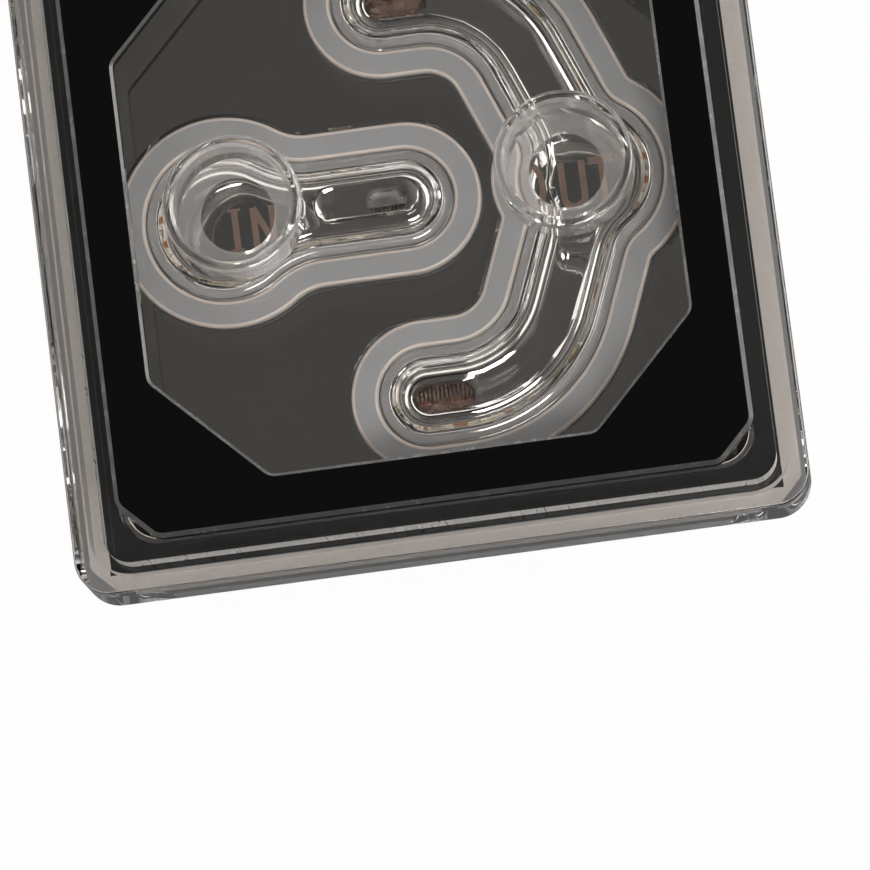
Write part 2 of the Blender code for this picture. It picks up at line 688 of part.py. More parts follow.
def add_screws(name, places, mesh, bottom, socket_mesh, finish, parent):
    """One screw at each place, head down, every one with its own hexagon socket."""
    for number, (x, y) in enumerate(places):
        screw = add_object(f"{name}_{number + 1}", mesh.copy(), finish, parent)
        screw.location = (x * MM, y * MM, bottom * MM)
        socket = cutter(f"{name}_socket_{number + 1}", socket_mesh)
        socket.location = screw.location
        boolean(screw, socket, "DIFFERENCE")


def hexagon(across_flats):
    radius = across_flats / math.sqrt(3)
    return Outline([(direction(60 * i) * radius, 0.0, 60 * i, 0) for i in range(6)])


def clamp_screws(finish, parent):
    """The screws that pull the distribution plate up against the acrylic."""
    head = CLAMP_HEAD_RADIUS - CLAMP_SCREW_RADIUS
    top = CLAMP_HEAD_HEIGHT + CLAMP_SCREW_LENGTH
    levels = [
        (head - CLAMP_SCREW_BEVEL, 0.0),
        (head, CLAMP_SCREW_BEVEL),
        (head, CLAMP_HEAD_HEIGHT),
        (0.0, CLAMP_HEAD_HEIGHT),
        (0.0, top - CLAMP_SCREW_BEVEL),
        (-CLAMP_SCREW_BEVEL, top),
    ]
    mesh = lofted("clamp_screw", circle(0, 0, CLAMP_SCREW_RADIUS), levels)
    socket = lofted("clamp_socket", hexagon(CLAMP_SOCKET_WIDTH), [(0.0, -THROUGH), (0.0, CLAMP_SOCKET_DEPTH)])
    places = corners(CLAMP_OFFSET, CLAMP_OFFSET)
    add_screws("clamp_screw", places, mesh, PLATE_BOTTOM, socket, finish, parent)


def base_screws(finish, parent):
    """The countersunk screws that hold the cold plate to the distribution plate."""
    head = BASE_HEAD_RADIUS - BASE_SCREW_RADIUS
    levels = [
        (head, 0.0),
        (0.0, BASE_HEAD_HEIGHT),
        (0.0, BASE_SCREW_LENGTH - BASE_SCREW_BEVEL),
        (-BASE_SCREW_BEVEL, BASE_SCREW_LENGTH),
    ]
    mesh = lofted("base_screw", circle(0, 0, BASE_SCREW_RADIUS), levels)
    socket = lofted("base_socket", hexagon(BASE_SOCKET_WIDTH), [(0.0, -THROUGH), (0.0, BASE_SOCKET_DEPTH)])
    bottom = FLANGE_BOTTOM + GAP / 2
    add_screws("base_screw", base_screw_places(), mesh, bottom, socket, finish, parent)


def threaded_inserts(finish, parent):
    bore = CLAMP_SCREW_RADIUS + GAP
    section = box_section(bore - INSERT_RADIUS, 0.0, 0.0, INSERT_LENGTH)
    mesh = ringed("threaded_insert", circle(0, 0, INSERT_RADIUS), section)
    for number, (x, y) in enumerate(corners(CLAMP_OFFSET, CLAMP_OFFSET)):
        insert = add_object(f"threaded_insert_{number + 1}", mesh.copy(), finish, parent)
        insert.location = (x * MM, y * MM, (BODY_BOTTOM + GAP) * MM)


def strip_outline():
    """The outer face of the light strip, which stands against the outer wall of its groove."""
    half = LIGHT_HALF - GAP
    return rounded_box(half, half, LIGHT_GROOVE_CORNER - GAP)


def light_strip(finish, parent):
    """The flexible board on edge in its groove, open behind the cable socket."""
    bottom = BODY_BOTTOM + STRIP_LIFT
    section = box_section(-STRIP_THICKNESS, 0.0, bottom, bottom + STRIP_HEIGHT)
    strip = add_object("light_strip", ringed("light_strip", strip_outline(), section), finish, parent)
    half_opening = SOCKET_WIDTH / 2 + STRIP_OPENING_MARGIN
    opening = rounded_box(half_opening, LIGHT_GROOVE_WIDTH, SOCKET_CORNER, 0.0, LIGHT_HALF)
    levels = [(0.0, bottom - THROUGH), (0.0, bottom + STRIP_HEIGHT + THROUGH)]
    cut(strip, "strip_opening_cutter", lofted("strip_opening", opening, levels))


def led_mesh():
    """One LED package, standing on its back with the light window up."""
    half = LED_SIZE / 2
    levels = [(0.0, 0.0), (0.0, LED_THICKNESS - LED_BEVEL), (-LED_BEVEL, LED_THICKNESS)]
    return lofted("led", rounded_box(half, half, LED_CORNER), levels)


def leds(finish, parent):
    """A row of LEDs on each side of the strip, facing the middle of the block."""
    mesh = led_mesh()
    window_levels = [
        (-LED_WINDOW_SLOPE, LED_THICKNESS - LED_WINDOW_DEPTH),
        (0.0, LED_THICKNESS),
        (0.0, LED_THICKNESS + THROUGH),
    ]
    window_mesh = lofted("led_window", circle(0, 0, LED_WINDOW_RADIUS), window_levels)
    back = LIGHT_HALF - GAP - STRIP_THICKNESS - GAP
    pitch = 2 * (LIGHT_HALF - LED_END_MARGIN) / (LEDS_PER_SIDE - 1)
    z = BODY_BOTTOM + STRIP_LIFT + STRIP_HEIGHT / 2
    number = 0
    for turn in range(4):
        spin = Matrix.Rotation(math.radians(90 * turn), 4, "Z")
        for i in range(LEDS_PER_SIDE):
            along = (i - (LEDS_PER_SIDE - 1) / 2) * pitch
            number += 1
            stand = Matrix.Translation(Vector((along, back, z)) * MM) @ Matrix.Rotation(math.radians(90), 4, "X")
            led = add_object(f"led_{number}", mesh.copy(), finish, parent)
            led.matrix_world = spin @ stand
            window = cutter(f"led_window_cutter_{number}", window_mesh)
            window.matrix_world = led.matrix_world
            boolean(led, window, "DIFFERENCE")


def light_socket(finish, parent):
    """The cable socket of the light strip, in the notch at the back of the body."""
    bottom = BODY_BOTTOM + SOCKET_LIFT
    middle = BODY_HALF - SOCKET_LENGTH / 2 - SOCKET_SETBACK
    shell = rounded_box(SOCKET_WIDTH / 2, SOCKET_LENGTH / 2, SOCKET_CORNER, 0.0, middle)
    levels = [(0.0, bottom), (0.0, bottom + SOCKET_HEIGHT)]
    socket = add_object("light_socket", lofted("light_socket", shell, levels), finish, parent)
    inner_middle = middle + SOCKET_LENGTH / 2 - SOCKET_CAVITY_DEPTH / 2 + THROUGH / 2
    half_depth = (SOCKET_CAVITY_DEPTH + THROUGH) / 2
    cavity = rounded_box(SOCKET_WIDTH / 2 - SOCKET_WALL, half_depth, SOCKET_CORNER, 0.0, inner_middle)
    cavity_levels = [(0.0, bottom + SOCKET_WALL), (0.0, bottom + SOCKET_HEIGHT - SOCKET_WALL)]
    cut(socket, "socket_cavity_cutter", lofted("socket_cavity", cavity, cavity_levels))


def clear_scene():
    for thing in list(bpy.data.objects):
        bpy.data.objects.remove(thing, do_unlink=True)


def build():
    clear_scene()
    block = bpy.data.objects.new("water_block", None)
    bpy.context.scene.collection.objects.link(block)
    acrylic = material("clear_acrylic", (0.95, 0.95, 0.94), 0.03, transmission=1.0)
    black = material("black_gloss", (0.01, 0.01, 0.011), 0.08)
    silicone = material("silicone", (0.72, 0.69, 0.67), 0.35, transmission=0.4)
    dark_metal = material("dark_nickel", (0.16, 0.16, 0.15), 0.12, metallic=1.0)
    copper = material("copper", (0.72, 0.40, 0.26), 0.25, metallic=1.0)
    steel = material("steel", (0.55, 0.55, 0.54), 0.25, metallic=1.0)
    brass = material("brass", (0.75, 0.60, 0.32), 0.3, metallic=1.0)
    rubber = material("rubber", (0.03, 0.03, 0.03), 0.6)
    board = material("strip_board", (0.62, 0.55, 0.42), 0.5)
    package = material("led_package", (0.85, 0.80, 0.62), 0.4)
    plastic = material("socket_plastic", (0.02, 0.02, 0.02), 0.5)
    clear_top(acrylic, block)
    cover_plate(black, block)
    gasket("inlet_gasket", inlet_outline(), silicone, block)
    gasket("outlet_gasket", outlet_outline(), silicone, block)
    distribution_plate(dark_metal, block)
    jet_plate(steel, block)
    chamber_seal(rubber, block)
    cold_plate(copper, block)
    clamp_screws(steel, block)
    threaded_inserts(brass, block)
    base_screws(steel, block)
    light_strip(board, block)
    leds(package, block)
    light_socket(plastic, block)


build()
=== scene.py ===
"""The looks of the water block: fine acrylic, gaskets, light strip, plates, camera and light.

Sizes are in millimetres in the frame's axes, and MM turns them into metres.
"""

import math

import bmesh
import bpy
from mathutils import Matrix, Vector


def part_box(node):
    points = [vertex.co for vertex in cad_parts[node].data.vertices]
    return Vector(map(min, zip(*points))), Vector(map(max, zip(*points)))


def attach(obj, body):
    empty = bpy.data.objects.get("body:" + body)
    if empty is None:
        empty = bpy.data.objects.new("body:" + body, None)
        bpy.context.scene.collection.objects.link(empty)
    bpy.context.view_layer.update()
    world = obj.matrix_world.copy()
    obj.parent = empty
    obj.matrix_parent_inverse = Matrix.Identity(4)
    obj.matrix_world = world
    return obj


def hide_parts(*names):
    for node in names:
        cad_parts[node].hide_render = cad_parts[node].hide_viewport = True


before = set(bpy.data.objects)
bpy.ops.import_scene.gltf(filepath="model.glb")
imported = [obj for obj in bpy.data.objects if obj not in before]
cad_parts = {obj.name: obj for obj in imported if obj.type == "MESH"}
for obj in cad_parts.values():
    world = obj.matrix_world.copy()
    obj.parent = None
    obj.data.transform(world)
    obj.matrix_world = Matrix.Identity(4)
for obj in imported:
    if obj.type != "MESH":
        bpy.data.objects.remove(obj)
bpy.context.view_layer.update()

MM = 0.001


def node_box(name):
    """The lowest and highest corners of a CAD node, in millimetres."""
    low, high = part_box(name)
    return low / MM, high / MM


# Levels and reaches read from the frame
TOP_LOW, TOP_HIGH = node_box("clear_top")
COVER_LOW, COVER_HIGH = node_box("cover_plate")
PLATE_LOW, PLATE_HIGH = node_box("distribution_plate")
STRIP_HIGH = node_box("light_strip")[1]
BODY_HALF = TOP_HIGH.x
BODY_BOTTOM = TOP_LOW.z
BOSS_TOP = TOP_HIGH.z
COVER_HALF = COVER_HIGH.x
COVER_BOTTOM = COVER_LOW.z
COVER_TOP = COVER_HIGH.z
PLATE_TOP = PLATE_HIGH.z

# Fits and fineness
GAP = 0.3
FLANGE_TOP = PLATE_LOW.z - GAP
ARC_TOLERANCE = 0.004
SHARPEST_STEP = 12.0
ROUND_STEPS = 8
SAME_PLACE = 0.0001
THROUGH = 1.0
LEVEL_NORMAL = 0.9999
DOWNWARD_NORMAL = -0.9

# Angles in degrees above which an edge stays sharp
ACRYLIC_SHARP = 32
COVER_SHARP = 25
METAL_SHARP = 30
RUBBER_SHARP = 60

# Acrylic body
RIM_TOP = BODY_BOTTOM + 10.8
DECK = RIM_TOP - 1.1
BODY_CORNER = 4.2
BODY_TOP_ROUND = 0.3
BODY_FOOT_BEVEL = 0.5
RIM_WIDTH = 2.05
MOAT_WIDTH = 1.45
MOAT_DEPTH = 5.0
MOAT_CORNER = 4.5
MOAT_HALF = BODY_HALF - RIM_WIDTH

# Ports
PORT_X = 19.0
BOSS_RADIUS = 8.0
BOSS_ROUND = 0.6
PORT_RADIUS = 6.65
PORT_DEPTH = 7.6
PORT_CHAMFER = 0.4
PORT_HOLE_RADIUS = 4.3

# Channels and gaskets
CHANNEL_HALF_WIDTH = 4.6
CHANNEL_HEIGHT = 4.5
CHANNEL_ROUND = 2.9
LOBE_RADIUS = 8.0
LOBE_X = PORT_X + 1.8
GROOVE_INNER = 0.9
GASKET_INNER = GROOVE_INNER + GAP
GASKET_OUTER = GASKET_INNER + 3.1
GROOVE_OUTER = GASKET_OUTER + GAP
GASKET_HEIGHT = 1.5
GASKET_ROUND = 0.4
NECK_FILLET = 5.8
KINK_FILLET = 1.0
SLOT_OFFSET_Y = 23.2
ARM_BEND_X = 3.8
ARM_BEND_RADIUS = 13.1
ARM_LEAN = 21.5

# Light strip and its groove
LIGHT_HALF = STRIP_HIGH.x + GAP
LIGHT_GROOVE_WIDTH = 2.3
LIGHT_GROOVE_HEIGHT = 7.0
LIGHT_GROOVE_CORNER = 4.5
STRIP_THICKNESS = 0.5
STRIP_BOTTOM = BODY_BOTTOM + 0.6
STRIP_TOP = STRIP_BOTTOM + 5.0
STRIP_OPENING = 5.5
STRIP_BACKING = 0.08
PART_BEVEL = 0.06
PAD_OFFSET = 3.1
PAD_SIZE = (1.9, 0.12, 3.4)
RESISTOR_SIZE = (1.5, 0.6, 1.26)
RESISTOR_END_OFFSET = 0.95
RESISTOR_END_SIZE = (0.5, 0.56, 1.3)
LEDS_PER_SIDE = 4
LED_END_MARGIN = 13.4

# Distribution plate
SATIN_FROM = 38.8
EDGE_FALL = 0.5
DISTRIBUTION_CHAMFER = 3.2
DISTRIBUTION_CORNER_ROUND = 1.0
OUTLET_BED_HALF_WIDTH = 2.9
OUTLET_BED_DEPTH = 1.2
OUTLET_BED_ROUND = 2.4
# Painted shade: from this reach outwards the plate's top is near black, where the light strip and deck shade
# it
PAINTED_SHADE_FROM = 34.0
INLET_SHIFT_Y = 0.9
INLET_POCKET_FROM_X = -10.8
INLET_POCKET_TO_X = 2.0
INLET_POCKET_RADIUS = 2.7
INLET_POCKET_DEPTH = 1.2
INLET_POCKET_ROUND = 2.4
INLET_HOLE_X = -2.2
INLET_HOLE_REACH = 1.0
INLET_HOLE_RADIUS = 1.4
OUTLET_SLOT_X = 1.4
OUTLET_SLOT_REACH = 1.7
OUTLET_SLOT_RADIUS = 2.05
SLOT_BEVEL = 0.15
CHAMBER_TOP = 6.8
CLEAN_UP = 0.02

# Marks on the plate under the ports
MARK_STROKE = 0.75
MARK_THICKNESS = 0.012
BED_MARK_THICKNESS = 0.13
SERIF_REACH = 0.75
SERIF_HEIGHT = 0.3
IN_MARK_X = (-19.95, -17.75, -15.6)
IN_MARK_Y = (-2.6, 2.1)
OUT_MARK_X = (14.5, 18.1, 20.5, 22.8)
OUT_MARK_Y = (-2.6, 2.7)
O_RADIUS = 1.3
T_REACH = 1.5
T_DROP = 0.2
BEND_STEPS = 24

# Black plate
COVER_CHAMFER = 4.3
COVER_CORNER_ROUND = 2.2
WINDOW_HALF = COVER_HALF - 5.6
WINDOW_CHAMFER = 12.4
WINDOW_CORNER_ROUND = 1.6
COVER_OUTER_BEVEL = 0.5
COVER_WINDOW_BEVEL = 0.35

# Inserts and the socket's notch
CLAMP_OFFSET = LIGHT_HALF - LIGHT_GROOVE_WIDTH - 4.6
INSERT_RADIUS = 3.0
INSERT_WELL_TOP = 16.9
SOCKET_HALF_WIDTH = 4.0
SOCKET_NOTCH_TOP = BODY_BOTTOM + 3.8
SOCKET_CORNER = 0.2


def arc_steps(radius, sweep):
    """How many chords follow an arc within the tolerance."""
    if radius < ARC_TOLERANCE:
        return 1
    step = 2 * math.degrees(math.acos(1 - ARC_TOLERANCE / radius))
    return max(1, math.ceil(abs(sweep) / min(step, SHARPEST_STEP) - 1e-6))


def direction(angle):
    return Vector((math.cos(math.radians(angle)), math.sin(math.radians(angle))))


class Outline:
    """A closed run of arcs, anticlockwise, whose ends are joined by straight lines."""

    def __init__(self, arcs):
        self.stations = []
        for centre, radius, start, sweep in arcs:
            steps = arc_steps(radius, sweep)
            for i in range(steps + 1):
                spoke = direction(start + sweep * i / steps)
                self.add_station(Vector(centre) + spoke * radius, spoke if sweep >= 0 else -spoke)
        first = self.stations[0][0]
        if (self.stations[-1][0] - first).length < SAME_PLACE:
            self.stations.pop()

    def add_station(self, place, normal):
        """Adds a corner with its outward direction, unless an arc before it ended here."""
        if not self.stations or (place - self.stations[-1][0]).length > SAME_PLACE:
            self.stations.append((place, normal))

    def points(self, offset=0.0):
        """The corners of the outline moved outwards by the offset, which keeps their number."""
        return [place + normal * offset for place, normal in self.stations]


def circle(x, y, radius):
    return Outline([((x, y), radius, 0, 360)])


def rounded_box(half_x, half_y, corner, x=0.0, y=0.0):
    arcs = []
    for turn, (sx, sy) in enumerate(((1, 1), (-1, 1), (-1, -1), (1, -1))):
        centre = (x + sx * (half_x - corner), y + sy * (half_y - corner))
        arcs.append((centre, corner, 90 * turn, 90))
    return Outline(arcs)


def chamfered_box(half, chamfer, corner):
    """A square whose corners are cut at 45 degrees, each of its eight corners rounded."""
    inset = corner * math.tan(math.radians(22.5))
    arcs = []
    for turn in range(4):
        spin = Matrix.Rotation(math.radians(90 * turn), 2)
        first = spin @ Vector((half - corner, half - chamfer - inset))
        second = spin @ Vector((half - chamfer - inset, half - corner))
        arcs.append((first, corner, 90 * turn, 45))
        arcs.append((second, corner, 90 * turn + 45, 45))
    return Outline(arcs)


def slot(from_x, to_x, y, radius):
    """A round-ended slot along X, between the centres of its ends."""
    return Outline([((to_x, y), radius, -90, 180), ((from_x, y), radius, 90, 180)])


def angle_of(vector):
    return math.degrees(math.atan2(vector.y, vector.x))


def fillet_centre(centre, radius, line_point, normal, along, fillet):
    """Where a fillet touches a circle from outside and a line from the side its normal points to."""
    away = normal.dot(line_point - centre) + fillet
    return centre + normal * away + along * math.sqrt((radius + fillet) ** 2 - away**2)


def inlet_outline():
    """The inlet channel: a lobe round the IN port and a straight run that ends over the jets."""
    lobe = Vector((-LOBE_X, 0))
    fillet = NECK_FILLET + GROOVE_OUTER
    edge = Vector((0, CHANNEL_HALF_WIDTH))
    neck = fillet_centre(lobe, LOBE_RADIUS, edge, Vector((0, 1)), Vector((1, 0)), fillet)
    start = angle_of(neck - lobe)
    turn = start - 90
    return Outline(
        [
            ((0, 0), CHANNEL_HALF_WIDTH, -90, 180),
            (neck, fillet, -90, turn),
            (lobe, LOBE_RADIUS, start, 360 - 2 * start),
            (Vector((neck.x, -neck.y)), fillet, 90 - turn, turn),
        ]
    )


def outlet_outline():
    """The outlet channel: a lobe round the OUT port with one arm to the slot at each end of the fins."""
    port = Vector((PORT_X, 0))
    lobe = Vector((LOBE_X, 0))
    bend = Vector((ARM_BEND_X, SLOT_OFFSET_Y - ARM_BEND_RADIUS))
    normal = direction(ARM_LEAN)
    along = direction(ARM_LEAN + 90)
    fillet = KINK_FILLET + GROOVE_OUTER
    outer = ARM_BEND_RADIUS + CHANNEL_HALF_WIDTH
    inner = ARM_BEND_RADIUS - CHANNEL_HALF_WIDTH
    right = fillet_centre(lobe, LOBE_RADIUS, bend + normal * outer, normal, along, fillet)
    left = fillet_centre(port, CHANNEL_HALF_WIDTH, bend + normal * inner, -normal, along, fillet)
    lobe_end = angle_of(right - lobe)
    port_start = angle_of(left - port)
    upper = [
        (right, fillet, lobe_end + 180, ARM_LEAN - lobe_end),
        (bend, outer, ARM_LEAN, 90 - ARM_LEAN),
        (Vector((0, SLOT_OFFSET_Y)), CHANNEL_HALF_WIDTH, 90, 180),
        (bend, inner, 90, ARM_LEAN - 90),
        (left, fillet, ARM_LEAN, port_start - 180 - ARM_LEAN),
    ]
    lower = []
    for centre, radius, start, sweep in reversed(upper):
        lower.append((Vector((centre.x, -centre.y)), radius, -(start + sweep), sweep))
    middle = [(port, CHANNEL_HALF_WIDTH, port_start, 360 - 2 * port_start)]
    return Outline(upper + middle + lower + [(lobe, LOBE_RADIUS, -lobe_end, 2 * lobe_end)])


def finish_mesh(name, shape, finishes):
    bmesh.ops.recalc_face_normals(shape, faces=shape.faces)
    mesh = bpy.data.meshes.new(name)
    shape.to_mesh(mesh)
    shape.free()
    for finish in finishes:
        mesh.materials.append(finish)
    return mesh


def level_rows(shape, outline, levels):
    rows = []
    for offset, z in levels:
        rows.append([shape.verts.new((p.x * MM, p.y * MM, z * MM)) for p in outline.points(offset)])
    return rows


def wall_between(shape, lower, upper, slot_number=0):
    for i, vertex in enumerate(lower):
        after = (i + 1) % len(lower)
        face = shape.faces.new((vertex, lower[after], upper[after], upper[i]))
        face.material_index = slot_number


def lofted(name, outline, levels, finishes, slots=None):
    """A solid whose section at each level is the outline moved outwards by that level's offset."""
    shape = bmesh.new()
    rows = level_rows(shape, outline, levels)
    for number, (lower, upper) in enumerate(zip(rows, rows[1:])):
        wall_between(shape, lower, upper, slots[number] if slots else 0)
    shape.faces.new(reversed(rows[0]))
    shape.faces.new(rows[-1])
    return finish_mesh(name, shape, finishes)


def ringed(name, outline, section, finishes, slots=None):
    """A closed ring that follows the outline; its section is a closed run of offsets and levels."""
    shape = bmesh.new()
    rows = level_rows(shape, outline, section)
    for number, (lower, upper) in enumerate(zip(rows, rows[1:] + rows[:1])):
        wall_between(shape, lower, upper, slots[number] if slots else 0)
    return finish_mesh(name, shape, finishes)


def box_section(inner, outer, bottom, top):
    return [(outer, bottom), (outer, top), (inner, top), (inner, bottom)]


def quarter_round(offset, z, radius, start, steps=ROUND_STEPS):
    """Section points round a corner whose arc centre is at (offset, z), over 90 degrees from start."""
    points = []
    for i in range(steps + 1):
        spoke = direction(start + 90 * i / steps)
        points.append((offset + radius * spoke.x, z + radius * spoke.y))
    return points


def rounded_section(inner, outer, bottom, top, radius):
    """A box section with all four corners rounded."""
    points = quarter_round(outer - radius, bottom + radius, radius, -90)
    points += quarter_round(outer - radius, top - radius, radius, 0)
    points += quarter_round(inner + radius, top - radius, radius, 90)
    points += quarter_round(inner + radius, bottom + radius, radius, 180)
    return points


def place(name, mesh):
    """A new object of the scene that rides on the block."""
    thing = bpy.data.objects.new(name, mesh)
    bpy.context.scene.collection.objects.link(thing)
    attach(thing, "root")
    return thing


def boolean(thing, mesh, operation="DIFFERENCE"):
    """Cuts a mesh from the thing, or joins it on, and keeps the cutter's material on the faces it makes."""
    other = bpy.data.objects.new("cutter", mesh)
    bpy.context.scene.collection.objects.link(other)
    modifier = thing.modifiers.new("boolean", "BOOLEAN")
    modifier.operation = operation
    modifier.object = other
    modifier.solver = "EXACT"
    modifier.material_mode = "TRANSFER"
    return other


def apply_all(thing, cutters, sharp_angle):
    """Turns the modifiers into the mesh, removes the cutters and shades the curves smooth."""
    shown = thing.evaluated_get(bpy.context.evaluated_depsgraph_get())
    mesh = bpy.data.meshes.new_from_object(shown)
    thing.modifiers.clear()
    for other in cutters:
        bpy.data.objects.remove(other, do_unlink=True)
    thing.data = mesh
    smooth(thing, sharp_angle)


def smooth(thing, sharp_angle):
    """Shades curves smooth and level faces flat, without the normals that a copied mesh brings."""
    brought = thing.data.attributes.get("custom_normal")
    if brought:
        thing.data.attributes.remove(brought)
    thing.data.shade_smooth()
    for face in thing.data.polygons:
        if abs(face.normal.z) > LEVEL_NORMAL:
            face.use_smooth = False
    thing.data.set_sharp_from_angle(angle=math.radians(sharp_angle))
    weighted = thing.modifiers.new("even_normals", "WEIGHTED_NORMAL")
    weighted.keep_sharp = True


# Materials

NOISE_RANGE = (0.35, 0.65)
ACRYLIC_IOR = 1.49
LAMP_SHARE = 0.85
BUMP_STRENGTH = 0.3
# How much less metallic and how rough the painted shade band on the plate is
PAINTED_SHADE_METAL_LOSS = 0.85
PAINTED_SHADE_ROUGHNESS = 0.6


def new_material(name):
    made = bpy.data.materials.new(name)
    made.use_nodes = True
    return made, made.node_tree, made.node_tree.nodes["Principled BSDF"]


def add_node(tree, kind, **values):
    node = tree.nodes.new(kind)
    for key, value in values.items():
        setattr(node, key, value)
    return node


def object_coordinates(tree):
    return add_node(tree, "ShaderNodeTexCoord").outputs["Object"]


def noise(tree, scale, detail=4.0, stretch=None):
    """A noise texture in the object's own space, whose scale is features in a metre."""
    texture = add_node(tree, "ShaderNodeTexNoise")
    texture.inputs["Scale"].default_value = scale
    texture.inputs["Detail"].default_value = detail
    source = object_coordinates(tree)
    if stretch:
        mapping = add_node(tree, "ShaderNodeMapping")
        mapping.inputs["Scale"].default_value = stretch
        tree.links.new(source, mapping.inputs["Vector"])
        source = mapping.outputs["Vector"]
    tree.links.new(source, texture.inputs["Vector"])
    return texture.outputs["Fac"]


def ranged(tree, value, low, high, from_low=0.0, from_high=1.0):
    spread = add_node(tree, "ShaderNodeMapRange")
    spread.inputs["From Min"].default_value = from_low
    spread.inputs["From Max"].default_value = from_high
    spread.inputs["To Min"].default_value = low
    spread.inputs["To Max"].default_value = high
    tree.links.new(value, spread.inputs["Value"])
    return spread.outputs["Result"]


def colours_between(tree, value, first, second):
    mix = add_node(tree, "ShaderNodeMix", data_type="RGBA")
    mix.inputs["A"].default_value = (*first, 1.0)
    mix.inputs["B"].default_value = (*second, 1.0)
    tree.links.new(value, mix.inputs["Factor"])
    return mix.outputs["Result"]


def mixed(tree, share, first, second):
    mix = add_node(tree, "ShaderNodeMix", data_type="RGBA")
    tree.links.new(share, mix.inputs["Factor"])
    tree.links.new(first, mix.inputs["A"])
    tree.links.new(second, mix.inputs["B"])
    return mix.outputs["Result"]


def maths(tree, operation, first, second=None):
    node = add_node(tree, "ShaderNodeMath", operation=operation)
    for socket, value in zip(node.inputs, (first, second)):
        if isinstance(value, bpy.types.NodeSocket):
            tree.links.new(value, socket)
        elif value is not None:
            socket.default_value = value
    return node.outputs[0]


def bump(tree, shader, height, strength, distance):
    node = add_node(tree, "ShaderNodeBump")
    node.inputs["Strength"].default_value = strength
    node.inputs["Distance"].default_value = distance
    tree.links.new(height, node.inputs["Height"])
    tree.links.new(node.outputs["Normal"], shader.inputs["Normal"])


def let_lamps_through(tree, shader, share):
    """Lamp light passes through the clear piece, dimmed, so that what lies under it is lit."""
    path = add_node(tree, "ShaderNodeLightPath")
    clear = add_node(tree, "ShaderNodeBsdfTransparent")
    clear.inputs["Color"].default_value = (share, share, share, 1.0)
    mix = add_node(tree, "ShaderNodeMixShader")
    output = tree.nodes["Material Output"]
    tree.links.new(path.outputs["Is Shadow Ray"], mix.inputs[0])
    tree.links.new(shader.outputs["BSDF"], mix.inputs[1])
    tree.links.new(clear.outputs["BSDF"], mix.inputs[2])
    tree.links.new(mix.outputs["Shader"], output.inputs["Surface"])


def clear_material(name, colour, haze, rough_low, rough_high, grain, height, stretch=None):
    made, tree, shader = new_material(name)
    shader.inputs["Base Color"].default_value = (*colour, 1.0)
    shader.inputs["Transmission Weight"].default_value = 1.0 - haze
    shader.inputs["IOR"].default_value = ACRYLIC_IOR
    speckle = noise(tree, grain, stretch=stretch)
    tree.links.new(ranged(tree, speckle, rough_low, rough_high, *NOISE_RANGE), shader.inputs["Roughness"])
    if height:
        bump(tree, shader, speckle, BUMP_STRENGTH, height)
    let_lamps_through(tree, shader, LAMP_SHARE)
    return made


def polished_acrylic():
    return clear_material("polished_acrylic", (0.985, 0.97, 0.955), 0.0, 0.0, 0.02, 900.0, 0.0)


def milled_acrylic():
    return clear_material("milled_acrylic", (0.98, 0.955, 0.935), 0.008, 0.0, 0.03, 2500.0, 0.0)


def milled_land():
    return clear_material("milled_land", (0.95, 0.925, 0.91), 0.16, 0.1, 0.16, 2500.0, 0.0)


def bored_acrylic():
    return clear_material("bored_acrylic", (0.96, 0.93, 0.905), 0.1, 0.08, 0.16, 2500.0, 0.00001)


def frosted_acrylic():
    upright = (1.0, 1.0, 0.03)
    return clear_material("frosted_acrylic", (0.95, 0.93, 0.9), 0.4, 0.25, 0.5, 1500.0, 0.00003, upright)


def black_gloss():
    made, tree, shader = new_material("black_gloss")
    dust = noise(tree, 2500.0)
    shade = ranged(tree, dust, 0.0, 1.0, 0.62, 0.95)
    colour = colours_between(tree, shade, (0.0006, 0.0006, 0.0007), (0.004, 0.004, 0.004))
    tree.links.new(colour, shader.inputs["Base Color"])
    scratches = noise(tree, 60.0, 2.0, (1.0, 30.0, 1.0))
    tree.links.new(ranged(tree, scratches, 0.02, 0.07, 0.4, 0.7), shader.inputs["Roughness"])
    return made


def polished_bevel():
    made, tree, shader = new_material("polished_bevel")
    shader.inputs["Metallic"].default_value = 0.6
    streaks = noise(tree, 500.0, 3.0)
    colour = colours_between(tree, streaks, (0.07, 0.07, 0.07), (0.2, 0.195, 0.19))
    tree.links.new(colour, shader.inputs["Base Color"])
    tree.links.new(ranged(tree, streaks, 0.15, 0.35), shader.inputs["Roughness"])
    return made


def silicone(name, dark, light):
    made, tree, shader = new_material(name)
    cloud = noise(tree, 120.0, 3.0)
    tree.links.new(colours_between(tree, cloud, dark, light), shader.inputs["Base Color"])
    tree.links.new(ranged(tree, noise(tree, 1500.0), 0.25, 0.45), shader.inputs["Roughness"])
    shader.inputs["Subsurface Weight"].default_value = 0.4
    shader.inputs["Subsurface Radius"].default_value = (0.001, 0.0008, 0.0007)
    shader.inputs["Subsurface Scale"].default_value = 1.0
    return made


def beyond(tree, reach):
    """One on the plate's top further out than the reach given, and zero elsewhere."""
    split = add_node(tree, "ShaderNodeSeparateXYZ")
    tree.links.new(object_coordinates(tree), split.inputs["Vector"])
    sides = [maths(tree, "ABSOLUTE", split.outputs[axis]) for axis in ("X", "Y")]
    outside = maths(tree, "GREATER_THAN", maths(tree, "MAXIMUM", *sides), reach * MM)
    on_top = maths(tree, "GREATER_THAN", split.outputs["Z"], (PLATE_TOP - EDGE_FALL - CLEAN_UP) * MM)
    return maths(tree, "MULTIPLY", outside, on_top)


